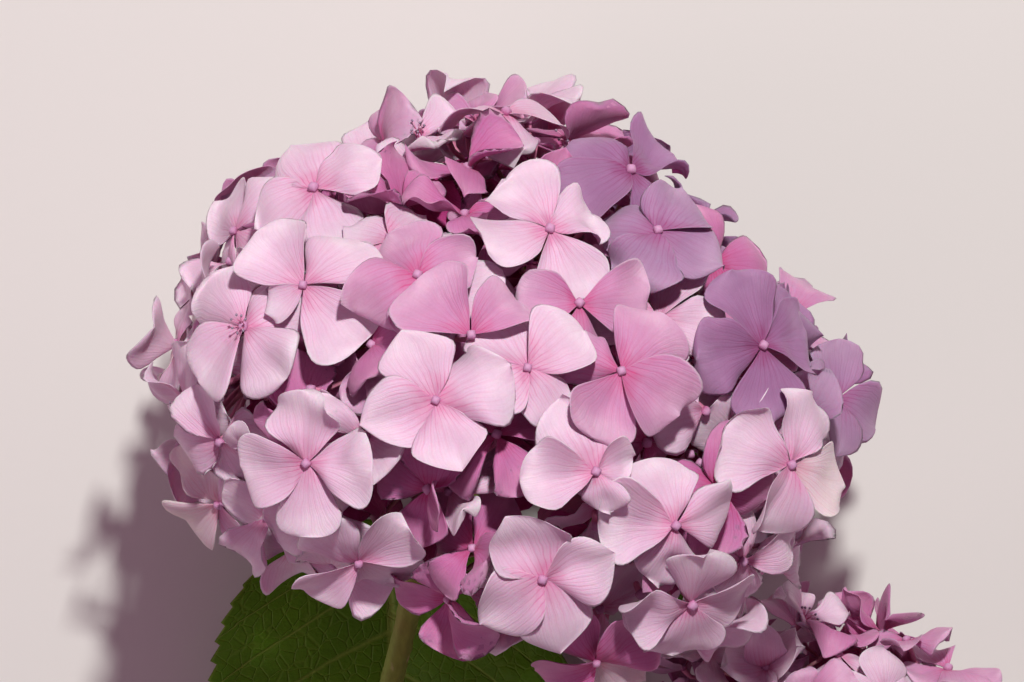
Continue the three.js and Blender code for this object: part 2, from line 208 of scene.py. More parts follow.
INNER_CLOSING = 0.1
BUD_SCATTER = 9  # how far beside its floret's middle a loose bud stands
BUD_DEPTH = (5, 12)  # and how far further in
STAMENS_IN = 0.14  # share of the outer florets that show stamens

# How sepals of neighbouring florets are bent clear of each other
GIVE = {
    "rounds": 14,
    "near": 2.9,  # points that are this close as seen along the push count as touching
    "most": 6.5,  # the furthest that a sepal gives
    "pairs_within": 0.72,  # share of both reaches within which two middles make a pair
    "same_floret": 0.4,  # share of the clearance that sepals of one floret keep
    "batch": 3000,  # pairs worked out at once
    "longest_push": 4,
    "kept": 0.985,  # share of a bend that stays from round to round
    "followed": 0.7,  # share of a push that is followed
    "stiffness": 0.25,
    "proud": 1.4,  # sepals are held within this many times the bloom's own limit
    "hold": 0.6,
    "longest_hold": 5,
}

BLADE = {
    "widest": 0.7,
    "fullness": 0.75,
    "tooth_depth": 0.055,
    "teeth": 26,
    "fold": 0.16,
    "ripple": 0.05,
    "thickness": 0.7,
    "rib": 1.3,
    "stalk_radius": 1.7,
    "vein_pairs": 9,
    "vein_rise": (0.16, 0.1),  # how far a side vein runs on along the blade, straight and curved
    "vein_stagger": 0.35,
    "quilting": 1.0,
    "quilted_width": 90,  # of a leaf that is quilted to that depth
    "groove": (0.3, 0.06),  # depth over a side vein, and spread in the veins' spacings
    "side_rib": (0.35, 0.07),  # the same of the rib under it
    "midrib_groove": 0.35,
    "margin_wave": (0.035, 31),  # depth, of the half width, and how close the waves are
    "midrib_spread": 1.3,
    "edge_thinning": 0.6,
    "lowest": 0.3,  # the lower skin's least height
    "stalk_flare": (0.9, 9),  # how much a leaf's stalk widens at the stem, and how soon it narrows
}
BLADE_COLUMNS = (
    0, 0.012, 0.03, 0.055, 0.1, 0.17, 0.25, 0.34, 0.44, 0.54, 0.64, 0.73, 0.81, 0.88, 0.94, 0.98, 1)
BLADE_STATIONS = 156

# Each leaf: its name, what carries it, the place of its node there and its side of it, where its
# blade starts, the blade's heading in degrees, its length, width and sideways bow, how high it
# rests, and how much higher its crest is
LEAF_KEYS = ("name", "carrier", "node", "side", "base", "heading", "length", "width", "bow", "rest", "crest")
LEAVES = [dict(zip(LEAF_KEYS, row)) for row in (
    ("upper_leaf_left", "stem", 0.93, -1, (-27, -30, 19), 184, 126, 92, -5, 3.2, 3),
    ("upper_leaf_right", "stem", 0.93, 1, (12, -33, 13), 80, 70, 46, 3, 3.2, 0),
    ("lower_leaf_left", "stem", 0.165, -1, (-76, -178, 12), -56, 102, 76, 6, 3.2, 10),
    ("lower_leaf_right", "stem", 0.165, 1, (-26, -204, 10), 106, 96, 70, -5, 3.2, 8),
    ("shoot_leaf_left", "shoot", 0.62, -1, (11, -138, 27), -10, 52, 34, 3, 19, 6),
    ("shoot_leaf_right", "shoot", 0.62, 1, (34, -168, 14), 112, 62, 44, -3, 3.2, 6),
)]


# Arithmetic on points
def unit(vectors):
    vectors = np.asarray(vectors, float)
    return vectors / np.linalg.norm(vectors, axis=-1, keepdims=True)


def mix(span, share):
    return span[0] + (span[1] - span[0]) * share


def seeded(seed):
    """The draws that the head's own rule uses, one after another."""
    state = seed

    def draw():
        nonlocal state
        state = state * 48271 % 2147483647
        return state / 2147483647

    return draw


def settle(points):
    """Points pressed up by the ground, so that none reaches it."""
    low = np.minimum(points[..., 2], GROUND_BAND)
    pressed = GROUND_BAND * np.exp((low - GROUND_BAND) / GROUND_BAND)
    points[..., 2] = np.where(points[..., 2] < GROUND_BAND, pressed, points[..., 2])
    return points


def bezier(corners, along):
    """Points of cubic curves: four arrays of corner points, and places along the curve."""
    start, out, back, end = [np.asarray(corner, float)[..., None, :] for corner in corners]
    t = np.asarray(along, float)[:, None]
    away = 1 - t
    return away**3 * start + 3 * away**2 * t * out + 3 * away * t**2 * back + t**3 * end


def bend(start, start_heading, end, end_heading):
    """The corners of a smooth curve between two points with a heading at each."""
    start, end = np.asarray(start, float), np.asarray(end, float)
    reach = np.linalg.norm(end - start) / 3
    return start, start + reach * unit(start_heading), end - reach * unit(end_heading), end


def point_and_heading(corners, place):
    near = bezier(corners, [place - 1e-4, place, place + 1e-4])
    return near[1], unit(near[2] - near[0])


def length_of(line):
    return np.linalg.norm(np.diff(line, axis=0), axis=1).sum()


# Templates: faces shared by many copies, with the place of each corner on the copy's chart
def grid_faces(rows, columns, closed=False):
    """Four-cornered faces of a grid of points, and the same corners' places as (row, column)."""
    spans = columns if closed else columns - 1
    row, column = np.meshgrid(np.arange(rows - 1), np.arange(spans), indexing="ij")
    steps = ((0, 0), (0, 1), (1, 1), (1, 0))
    places = np.stack([np.stack([row + down, column + on], -1) for down, on in steps], 2)
    places = places.reshape(-1, 4, 2)
    faces = places[..., 0] * columns + places[..., 1] % columns
    return faces, places


def tube_template(steps, sides):
    faces, places = grid_faces(steps, sides, closed=True)
    chart = places[..., ::-1] / np.array([sides, steps - 1])
    around = np.arange(sides)
    caps = np.stack([around[::-1], around + (steps - 1) * sides])
    cap_chart = np.zeros((2, sides, 2)) + 0.5
    cap_chart[0, :, 1] = 0
    cap_chart[1, :, 1] = 1
    return [(faces, chart, False), (caps, cap_chart, False)]


def tubes(lines, radii, sides):
    """Rings round many lines at once: lines are (count, steps, 3), and radii fit (count, steps)."""
    lines = np.asarray(lines, float)
    count, steps = lines.shape[:2]
    radii = np.broadcast_to(radii, (count, steps))
    tangents = unit(np.gradient(lines, axis=1))
    helper = np.where(np.abs(tangents[:, 0, 2:]) < 0.8, [[0, 0, 1.0]], [[1.0, 0, 0]])
    normal = np.cross(tangents[:, 0], helper)
    turns = 2 * math.pi * np.arange(sides) / sides
    rings = []
    for step in range(steps):
        tangent = tangents[:, step]
        normal = unit(normal - tangent * (normal * tangent).sum(-1, keepdims=True))
        binormal = np.cross(tangent, normal)
        out = normal[:, None] * np.cos(turns)[:, None]
        out = out + binormal[:, None] * np.sin(turns)[:, None]
        rings.append(lines[:, step, None] + out * radii[:, step, None, None])
    return np.stack(rings, 1).reshape(count, steps * sides, 3), tube_template(steps, sides)


def pinched_template(index, chart, back=False):
    """Faces of a grid whose first and last rows are each a single corner, so triangles there."""
    rows, columns = index.shape
    _, places = grid_faces(rows, columns)
    places = places.reshape(rows - 1, columns - 1, 4, 2)
    faces = index[places[..., 0], places[..., 1]]
    chart = chart[places[..., 0], places[..., 1]].astype(float)
    chart[0, :, 0] = chart[0, :, :2].mean(1)
    chart[-1, :, 2] = chart[-1, :, 2:].mean(1)
    template = []
    for some, corners in ((slice(1, -1), (0, 1, 2, 3)), ([0], (0, 2, 3)), ([-1], (0, 1, 2))):
        corners = list(corners[::-1] if back else corners)
        some_faces = faces[some][..., corners].reshape(-1, len(corners))
        some_chart = chart[some][..., corners, :].reshape(-1, len(corners), 2)
        template.append((some_faces, some_chart, back))
    return template


def two_skin_template(columns, stations):
    """A thin closed blade: an upper and a lower skin that share their margins and both ends."""
    across = np.array([-place for place in columns[:0:-1]] + list(columns), float)
    along = (1 - np.cos(math.pi * np.arange(stations + 1) / stations)) / 2
    wide, rows = len(across), stations - 1
    upper = np.zeros((stations + 1, wide), int)
    upper[1:-1] = 2 + np.arange(rows * wide).reshape(rows, wide)
    upper[-1] = 1
    lower = upper.copy()
    lower[1:-1, 1:-1] = 2 + rows * wide + np.arange(rows * (wide - 2)).reshape(rows, wide - 2)
    chart = np.stack(np.broadcast_arrays((across + 1) / 2, along[:, None]), -1)
    return across, along, pinched_template(upper, chart) + pinched_template(lower, chart, True)


def dome_template(rows, sides):
    """A closed round body with a point at each end, its chart running up it."""
    row, column = np.meshgrid(np.arange(rows + 2), np.arange(sides + 1), indexing="ij")
    index = (row - 1) * sides + column % sides
    index[0] = rows * sides
    index[-1] = rows * sides + 1
    template = pinched_template(index, np.stack([column / sides, row / (rows + 1)], -1))
    for (_, cap_chart, _), height in zip(template[1:], CAP_PLACES):
        cap_chart[:] = (0.5, height)
    return template


def chart_places(chart, back, count, cells=None):
    """Where each copy's corners lie on the piece's chart; sepals each take one of its cells."""
    if cells is None:
        return np.broadcast_to(chart, (count, *chart.shape))
    cell = FRONT_CELLS + cells % (CHART_CELLS**2 - FRONT_CELLS) if back else cells
    corner = np.stack([cell % CHART_CELLS, cell // CHART_CELLS], -1)[:, None, None]
    return (corner + CHART_EDGE + (1 - 2 * CHART_EDGE) * chart) / CHART_CELLS


def make_piece(name, material, slot, node, *parts):
    """One joined mesh. Each part has the points of all its copies, its template, and any cells."""
    points, corners, sizes, charts = [], [], [], []
    base = 0
    for copies, template, *cells in parts:
        count, number = copies.shape[:2]
        offsets = base + number * np.arange(count)[:, None, None]
        for faces, chart, back in template:
            corners.append((faces + offsets).ravel())
            sizes.append(np.full(count * len(faces), faces.shape[1]))
            charts.append(chart_places(chart, back, count, *cells).reshape(-1, 2))
        points.append(copies.reshape(-1, 3))
        base += count * number
    points = (np.concatenate(points) + SHIFT) * METRES
    corners, sizes = np.concatenate(corners), np.concatenate(sizes)
    mesh = bpy.data.meshes.new(name)
    mesh.vertices.add(len(points))
    mesh.vertices.foreach_set("co", points.astype(np.float32).ravel())
    mesh.loops.add(len(corners))
    mesh.loops.foreach_set("vertex_index", corners.astype(np.int32))
    mesh.polygons.add(len(sizes))
    mesh.polygons.foreach_set("loop_start", (np.cumsum(sizes) - sizes).astype(np.int32))
    mesh.update(calc_edges=True)
    layer = mesh.uv_layers.new(name="OFBake")
    layer.uv.foreach_set("vector", np.concatenate(charts).astype(np.float32).ravel())
    mesh.shade_smooth()
    mesh.materials.append(material)
    piece = bpy.data.objects.new(name, mesh)
    bpy.context.scene.collection.objects.link(piece)
    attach(piece, "root")
    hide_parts(node)


# The heads' own rule for where florets stand
def head_frame(bloom):
    lean, swing = math.radians(bloom["lean"]), math.radians(bloom["swing"])
    level = math.cos(lean)
    axis = np.array([math.sin(swing) * level, math.cos(swing) * level, math.sin(lean)])
    right = np.array([math.cos(swing), -math.sin(swing), 0])
    centre = np.array(bloom["centre"], float)
    return {"centre": centre, "axis": axis, "right": right, "up": np.cross(right, axis)}


def even_lean(bloom, index, count):
    share = (index + 0.5) / count
    return math.acos(1 - share * (1 - math.cos(math.radians(bloom["rim"]))))


def on_head(bloom, head, lean, around, size=1.0):
    radius, height = bloom["radius"] * size, bloom["height"] * size
    side = head["up"] * math.cos(around) + head["right"] * math.sin(around)
    point = head["centre"] + head["axis"] * height * math.cos(lean) + side * radius * math.sin(lean)
    outward = unit(head["axis"] * math.cos(lean) / height + side * math.sin(lean) / radius)
    return point, outward


def spread_spots(bloom, head, spots, spacings, size=1.0):
    """Adds to the spots every place on the head that keeps its distance from all before it."""
    taken = np.full((FLORET_PLACES, 3), 1e6)
    for number, spot in enumerate(spots):
        taken[number] = spot[0]
    for spacing in spacings:
        for visit in range(FLORET_PLACES):
            index = visit * FLORET_STRIDE % FLORET_PLACES
            lean = even_lean(bloom, index, FLORET_PLACES)
            point, outward = on_head(bloom, head, lean, index * GOLDEN_TURN, size)
            if np.linalg.norm(taken[: len(spots)] - point, axis=1).min(initial=1e6) > spacing:
                taken[len(spots)] = point
                spots.append((point, outward, None))
    return spots


def pose_florets(bloom, spots, seed, size=1.0, other_tilt=OTHER_TILT):
    """Gives each floret its width, depth, tilt, turn and droop."""
    random = seeded(seed)
    rows = []
    for point, outward, turn in spots:
        is_open = turn is not None
        width = mix(bloom["floret"], 0.6 + 0.4 * random() if is_open else random()) * size
        lift = mix(bloom["lift"], 0.8 + 0.2 * random() if is_open else random())
        most_tilt = OPEN_TILT if is_open else other_tilt
        tilt_across = mix((-most_tilt, most_tilt), random())
        tilt_along = mix((-most_tilt, most_tilt), random())
        seeded_turn = random() * 0.5 * math.pi
        droop = mix(DROOP, random()) * width
        across = unit(np.cross((0.05, 1, 0.03), outward))
        along = np.cross(outward, across)
        facing = unit(outward + across * tilt_across + along * tilt_along)
        first = unit(np.cross(along, facing))
        centre = settle(point + outward * lift)
        second = np.cross(facing, first)
        turn = turn if is_open else seeded_turn
        rows.append((centre, facing, first, second, width, turn, droop, is_open))
    names = ("centre", "facing", "first", "second", "width", "turn", "droop", "open")
    return {name: np.array(column) for name, column in zip(names, zip(*rows))}


def floret_outlines(florets):
    """The sixteen points of each floret's plain outline."""
    points = []
    for sepal in range(4):
        for angle, reach, fall in SEPAL_OUTLINE:
            direction = (florets["turn"] + math.radians(90 * sepal + angle))[:, None]
            out = florets["first"] * np.cos(direction) + florets["second"] * np.sin(direction)
            point = florets["centre"] + out * 0.5 * reach * florets["width"][:, None]
            points.append(point - florets["facing"] * fall * florets["droop"][:, None])
    return settle(np.stack(points, 1))


def chosen(florets, keep):
    return {name: column[keep] for name, column in florets.items()}


def grow_head(bloom, head, border, side):
    """The head's outer florets, less those that would cross the border between the heads."""
    spots = []
    for lean, around, turn in bloom["open_florets"]:
        point, outward = on_head(bloom, head, math.radians(lean), math.radians(around))
        spots.append((point, outward, math.radians(turn)))
    florets = pose_florets(bloom, spread_spots(bloom, head, spots, bloom["spacings"]), bloom["seed"])
    point, heading = border
    beyond = (floret_outlines(florets) - point) @ heading * side
    return chosen(florets, (beyond > BORDER_CLEARANCE).all(1))


def grow_layer_within(bloom, head, size, spacing, seed, other_tilt):
    """More florets of the same kind, spread over a smaller head inside the first."""
    spots = spread_spots(bloom, head, [], (spacing,), size)
    return pose_florets(bloom, spots, seed, 0.94, other_tilt)


def face(florets, facing):
    """The florets, turned to face another way."""
    facing = unit(facing)
    second = unit(np.cross(facing, florets["first"]))
    return {**florets, "facing": facing, "first": np.cross(second, facing), "second": second}


def ruffle(florets, random, most=0.3):
    """Tilts the florets that don't stand open a little more, each its own way."""
    loose = ~florets["open"][:, None]
    lean = np.clip(random.normal(0, most, (len(loose), 2)), -2 * most, 2 * most) * loose
    tilt = florets["first"] * lean[:, :1] + florets["second"] * lean[:, 1:]
    return face(florets, florets["facing"] + tilt)


def turn_to_light(florets, open_share=0.45, other_share=0.25):
    """Florets turn part of the way up, as they do towards the sun."""
    share = np.where(florets["open"], open_share, other_share)[:, None]
    return face(florets, florets["facing"] + share * np.array([0, 0, 1]))


def headings_round(florets, turn):
    """The directions in each floret's own plane at some turns, (florets, turns)."""
    out = florets["first"][:, None] * np.cos(turn)[..., None]
    return out + florets["second"][:, None] * np.sin(turn)[..., None]


# Sepals
def draw_sepals(florets, random, closing):
    """Each floret's four sepals: where they start, which way they point, and their own shape."""
    count = len(florets["width"])
    turn = florets["turn"][:, None] + math.pi / 2 * np.arange(4)
    turn = turn + random.normal(0, 0.08, turn.shape)
    out = headings_round(florets, turn)
    is_open = np.broadcast_to(florets["open"][:, None], turn.shape)
    width = np.broadcast_to(florets["width"][:, None], turn.shape)
    droop = np.broadcast_to(florets["droop"][:, None], turn.shape)
    closed_floret = (random.random(count) < closing)[:, None] & ~is_open
    folded_up = (random.random(turn.shape) < FOLDED_UP) & ~is_open
    lifted = closed_floret | folded_up
    pointed = (random.random(count) < POINTED)[:, None]
    over = np.array([True, False, True, False])

    def draw(low, high):
        return random.uniform(low, high, turn.shape)

    # Opposite sepals stand over or under the pair beside them.
    lift = np.where(is_open, draw(-0.08, 0.32), draw(-0.15, 0.45)) + np.where(over, 0.07, -0.07)
    lift = lift + lifted * draw(0.35, 0.95)
    fall = -2 * (droop / (0.5 * width) + lift * 0.7) + random.normal(0, 0.31, turn.shape)
    shape = {
        "centre": np.broadcast_to(florets["centre"][:, None], out.shape),
        "out": out,
        "facing": np.broadcast_to(florets["facing"][:, None], out.shape),
        "reach": 0.5 * width * draw(0.96, 1.08),
        "lift": lift,
        "fall": np.where(lifted, draw(-1.0, 0.3), fall),
        "wide": np.where(is_open, draw(0.5, 0.6), draw(0.42, 0.58)) - 0.03 * pointed,
        "swell": draw(1.0, 1.35),
        "point": np.where(pointed, draw(0.75, 1.15), draw(0.4, 0.58)),
        "shoulder": draw(-0.06, 0.12),
        "cup": np.where(over, draw(-0.5, 0.8), draw(-0.95, 0.35)),
        "crease": draw(-0.15, 0.27) + lifted * draw(0, 0.35),
        "roll": draw(-0.25, 0.2),
        "skew": random.normal(0, 0.09, turn.shape),
        "sway": random.normal(0, 0.06, turn.shape),
        "twist": random.normal(0, 0.34, turn.shape),
        "ripple": draw(0.06, 0.31),
        "waves": draw(4, 10),
        "phase": draw(0, 2 * math.pi),
        "keel": draw(0.05, 0.35),
        "billow": draw(0.0, 0.09),
        "floret": np.broadcast_to(np.arange(count)[:, None], turn.shape),
    }
    sepals = {name: value.reshape(count * 4, *value.shape[2:]) for name, value in shape.items()}
    sepals["bend"] = np.zeros((count * 4, len(BEND_FORMS)))
    return sepals


# The ways in which a sepal gives where another lies on it, as powers of (place along, place across)
BEND_FORMS = ((1, 0), (2, 0), (1, 1), (2, 1), (2, 2), (3, 0), (3, 1))


def bend_forms(s, t):
    return np.stack([t**along * s**across for along, across in BEND_FORMS], -1)


def push_heading(sepals):
    """The way in which each sepal is lifted or lowered: its own normal at the middle."""
    angle = (sepals["lift"] + 0.6 * sepals["fall"])[:, None]
    return sepals["facing"] * np.cos(angle) - sepals["out"] * np.sin(angle)


def sepal_skin(sepals, across, along):
    """The upper skin of each sepal, bent along its length and cupped across it, and its normals."""
    column = {name: value[:, None] for name, value in sepals.items() if value.ndim == 1}
    t = along[None, :]
    angle = column["lift"] + column["fall"] * t
    middle_angle = 0.5 * (angle[:, 1:] + angle[:, :-1])
    step = np.diff(along)
    start = np.zeros((len(angle), 1))
    forward = np.concatenate([start, np.cumsum(np.cos(middle_angle) * step, 1)], 1)
    upward = np.concatenate([start, np.cumsum(np.sin(middle_angle) * step, 1)], 1)
    out, facing = sepals["out"][:, None], sepals["facing"][:, None]
    side = np.cross(out, facing)
    reach = column["reach"]
    rib = sepals["centre"][:, None] + out * (forward * reach)[..., None]
    rib = rib + facing * (upward * reach)[..., None]
    rib = rib + side * (column["sway"] * t**2 * reach)[..., None]
    normal = facing * np.cos(angle)[..., None] - out * np.sin(angle)[..., None]
    turn = (column["twist"] * t)[..., None]
    flank = side * np.cos(turn) + normal * np.sin(turn)
    normal = normal * np.cos(turn) - side * np.sin(turn)

    peak = column["swell"] / (column["swell"] + column["point"])
    highest = peak ** column["swell"] * (1 - peak) ** column["point"]
    outline = t ** column["swell"] * (1 - t) ** column["point"] / highest
    shoulder = np.exp(-(((t - SHOULDER[0]) / SHOULDER[1]) ** 2))
    outline = outline * (1 + column["shoulder"] * (shoulder - 0.6))
    half = (reach * column["wide"] * outline)[..., None]
    s, t = across[None, None, :], t[..., None]
    each = {name: value[..., None] for name, value in column.items()}
    wave = np.sin(each["waves"] * 1.6 * t + 2.3 * each["phase"] * np.sign(s))
    scallop = 1 + SCALLOP * np.abs(s) * wave
    sideways = half * s * (1 + each["skew"] * s) * (1 - (each["cup"] * s) ** 2 / 6) * scallop
    rise = half * (each["cup"] * s**2 / 2 + each["crease"] * np.abs(s) ** 1.2 + each["roll"] * s**6)
    wave = np.sin(each["waves"] * t + each["phase"] + 1.4 * np.sign(s))
    rise = rise + each["ripple"] * half * np.abs(s) ** 2.5 * wave
    billows = np.sin(2.6 * s + 2.1 * each["phase"])
    billows = billows * np.sin(each["waves"] * 0.8 * t + 1.7 * each["phase"])
    rise = rise + each["billow"] * each["reach"] * billows * np.sin(math.pi * t)
    rise = rise - each["keel"] * np.exp(-((s / KEEL_SPREAD) ** 2)) * np.sin(math.pi * t)
    skin = rib[:, :, None] + flank[:, :, None] * sideways[..., None]
    skin = skin + normal[:, :, None] * rise[..., None]
    given = np.einsum("ijk,nk->nij", bend_forms(s[0], t[0]), sepals["bend"])
    skin = skin + push_heading(sepals)[:, None, None] * given[..., None]
    return settle(skin), normal


def proud_of_head(bloom, head, points):
    """How far points lie outside the head's surface."""
    away = points - head["centre"]
    scaled = np.stack([
        away @ head["right"] / bloom["radius"],
        away @ head["up"] / bloom["radius"],
        away @ head["axis"] / bloom["height"]], -1)
    size = np.linalg.norm(scaled, axis=-1)
    proud = (size - 1) * np.linalg.norm(away, axis=-1) / size
    return proud - swell_of_head(bloom, away)


def swell_of_head(bloom, away):
    """How much more or less the head has grown in each direction away from its middle."""
    swell = np.zeros(away.shape[:-1])
    for heading, height, spread in bloom["swells"]:
        off = 1 - unit(away) @ unit(heading)
        swell = swell + height * np.exp(-off / (1 - math.cos(math.radians(spread))))
    return swell


def sink_into_head(bloom, head, florets, sepals, random, furthest=22, deepest=7):
    """Lowers the florets whose sepals would stand out of the head's surface, some of them further."""
    skin, _ = sepal_skin(sepals, np.array([-0.7, 0.0, 0.7]), np.linspace(0, 1, 6))
    proud = proud_of_head(bloom, head, skin).max((1, 2)).reshape(-1, 4).max(1)
    away = florets["centre"] - head["centre"]
    grown = np.maximum(swell_of_head(bloom, away), 0)
    excess = np.clip(proud + grown - bloom["proud"], 0, furthest)
    excess = excess + deepest * random.random(len(proud)) ** 1.5
    out = np.where(florets["open"], 0, grown - excess)
    florets["centre"] = settle(florets["centre"] + unit(away) * out[:, None])
    sepals["centre"] = florets["centre"][sepals["floret"]]


def near_pairs(sepals, skin):
    """Pairs of sepals whose middles are close, and how clear of each other they are to be."""
    middle = skin[:, 4, 2]
    distance = np.linalg.norm(middle[:, None] - middle[None], axis=2)
    reach = sepals["reach"][:, None] + sepals["reach"][None]
    same = sepals["floret"][:, None] == sepals["floret"][None]
    one, other = np.nonzero(np.triu(distance < GIVE["pairs_within"] * reach, 1))
    return one, other, np.where(same[one, other], GIVE["same_floret"], 1.0) * SEPAL_CLEARANCE


def heights_over(a, b, up):
    """How high the points of each pair's first sepal stand over the second's, and which touch."""
    height = np.einsum("kms,ks->km", a, up)[:, :, None] - np.einsum("kms,ks->km", b, up)[:, None]
    apart = ((a[:, :, None] - b[:, None]) ** 2).sum(-1)
    return height, apart - height**2 < GIVE["near"] ** 2


def bend_sepals_clear(bloom, head, sepals):
    """Bends sepals of neighbouring florets until each pair passes over or under one another."""
    across = np.array([-0.85, -0.45, 0.0, 0.45, 0.85])
    along = np.array([0.0, 0.22, 0.38, 0.54, 0.7, 0.85, 0.98])
    forms = bend_forms(across[None, :], along[1:, None]).reshape(-1, len(BEND_FORMS))
    stiffness = GIVE["stiffness"] * np.eye(len(BEND_FORMS))
    fit = np.linalg.solve(forms.T @ forms + stiffness, forms.T)
    heading = push_heading(sepals)
    skin, _ = sepal_skin(sepals, across, along)
    one, other, clearance = near_pairs(sepals, skin)
    up = unit(heading[one] + heading[other] + 1e-6)
    batches = [slice(first, first + GIVE["batch"]) for first in range(0, len(one), GIVE["batch"])]
    order = np.ones(len(one))
    for number in range(GIVE["rounds"]):
        skin, _ = sepal_skin(sepals, across, along)
        samples = skin[:, 1:].reshape(len(skin), -1, 3)
        lifts, drops = np.zeros((2, *samples.shape[:2]))
        for some in batches:
            height, touching = heights_over(samples[one[some]], samples[other[some]], up[some])
            if number == 0:
                order[some] = np.where(np.where(touching, height, 0).sum((1, 2)) >= 0, 1, -1)
            over = order[some, None]
            short = np.where(touching, clearance[some, None, None] - over[:, None] * height, 0)
            short = 0.5 * np.clip(short, 0, GIVE["longest_push"])
            for who, push in ((one[some], short.max(2) * over), (other[some], -short.max(1) * over)):
                np.maximum.at(lifts, who, push)
                np.minimum.at(drops, who, push)
        proud = proud_of_head(bloom, head, samples) - GIVE["proud"] * bloom["proud"]
        proud = np.clip(proud, 0, GIVE["longest_hold"])
        inwards = np.sign(np.einsum("nms,ns->nm", samples - head["centre"], heading))
        drops = drops - GIVE["hold"] * proud * (inwards > 0)
        lifts = lifts + GIVE["hold"] * proud * (inwards < 0)
        followed = GIVE["followed"] * (lifts + drops) @ fit.T
        sepals["bend"] = GIVE["kept"] * sepals["bend"] + followed
        largest = np.abs(sepals["bend"] @ forms.T).max(1, keepdims=True)
        sepals["bend"] *= np.minimum(1, GIVE["most"] / np.maximum(largest, 1e-6))


def crossing_sepals(sepals):
    """Pairs of different florets' sepals that cut through each other."""
    across, along = np.linspace(-0.99, 0.99, 9), np.linspace(0.09, 0.995, 13)
    skin, _ = sepal_skin(sepals, across, along)
    faces, _ = grid_faces(len(along), len(across))
    corners = (faces + len(along) * len(across) * np.arange(len(skin))[:, None, None]).reshape(-1, 4)
    tree = BVHTree.FromPolygons(skin.reshape(-1, 3).tolist(), corners.tolist())
    pairs = np.array(tree.overlap(tree)) // len(faces)
    pairs = np.unique(pairs[pairs[:, 0] < pairs[:, 1]], axis=0)
    floret = sepals["floret"]
    return pairs[floret[pairs[:, 0]] != floret[pairs[:, 1]]]


def clear_crossings(head, sepals, is_open, rounds=4, shrink=0.87, open_ahead=100):
    """Makes the inner sepal of each crossing pair smaller, and leaves out what crosses even then."""
    depth = np.linalg.norm(sepals["centre"] - head["centre"], axis=1)
    depth = depth + open_ahead * is_open[sepals["floret"]]
    for _ in range(rounds):
        pairs = crossing_sepals(sepals)
        inner = np.where(depth[pairs[:, 0]] < depth[pairs[:, 1]], pairs[:, 0], pairs[:, 1])
        sepals["reach"][np.unique(inner)] *= shrink
    kept = np.ones(len(depth), bool)
    for one, other in crossing_sepals(sepals):
        if kept[one] and kept[other]:
            kept[one if depth[one] < depth[other] else other] = False
    return chosen(sepals, kept)


def clear_of(sepals, others):
    """The sepals that cross none of the others."""
    both = {name: np.concatenate([others[name], value]) for name, value in sepals.items()}
    first = len(others["floret"])
    both["floret"] = np.concatenate([others["floret"], sepals["floret"] + others["floret"].max() + 1])
    kept = np.ones(len(both["floret"]), bool)
    pairs = crossing_sepals(both)
    kept[pairs[(pairs[:, 0] < first) & (pairs[:, 1] >= first), 1]] = False
    return chosen(sepals, kept[first:])


def sepal_points(sepals, columns, stations):
    """Upper and lower skin of each sepal as the corner points of its two-skinned template."""
    across, along, template = two_skin_template(columns, stations)
    skin, normal = sepal_skin(sepals, across, along)
    depth = SEPAL_THICKNESS * (1 - EDGE_THINNING * np.abs(across) ** 3)
    under = skin - normal[:, :, None] * depth[:, None]
    count = len(skin)
    ends = np.stack([skin[:, 0].mean(1), skin[:, -1].mean(1)], 1)
    points = np.concatenate([
        ends,
        skin[:, 1:-1].reshape(count, -1, 3),
        under[:, 1:-1, 1:-1].reshape(count, -1, 3)], 1)
    return settle(points), template


# Colours: sRGB from hexadecimal to the linear values that materials take
def colour(code):
    value = int(code[1:], 16)
    parts = [(value >> shift & 255) / 255 for shift in (16, 8, 0)]
    linear = [part / 12.92 if part <= 0.04045 else ((part + 0.055) / 1.055) ** 2.4 for part in parts]
    return (*linear, 1.0)


TONES = {
    "fresh": {"throat": "#c94583", "blade": "#cc90b9", "rim": "#e4c8da", "back": "#bf93b3"},
    "pale": {"throat": "#d46ea0", "blade": "#e4bfd8", "rim": "#f4e8ef", "back": "#d3b8cb"},
    "rose": {"throat": "#b92f6e", "blade": "#c474a8", "rim": "#dba9c6", "back": "#ae6f9a"},
    # Painted shade: mauve and lilac are darker, greyer tones that stand in for shade on the large bloom's
    # upper right.
    "mauve": {"throat": "#8a2a66", "blade": "#9e709b", "rim": "#b794b7", "back": "#8f7296"},
    "lilac": {"throat": "#9c467f", "blade": "#ab84aa", "rim": "#c3aac2", "back": "#9d82a1"},
    "cream": {"throat": "#d6849f", "blade": "#e5ccd6", "rim": "#efe6dd", "back": "#dccbcc"},
    # Painted shade: a dark, saturated tone for the inner layers, which stands in for the shade deep in the
    # head.
    "painted_shade_deep": {"throat": "#8c1650", "blade": "#b23079", "rim": "#c25795", "back": "#94286b"},
}


# A sepal's veins: how many to a half, where they begin, their width, and how much they show.
VEIN_SETS = ((7, -0.1, 0.2, 1.0), (15, 0.2, 0.28, 0.65), (31, 0.4, 0.4, 0.4))


# Node trees
def operation(name):
    """A method that adds one arithmetic node for its number and what it is given."""
    return lambda self, *others: self.graph.math(name, self, *others)


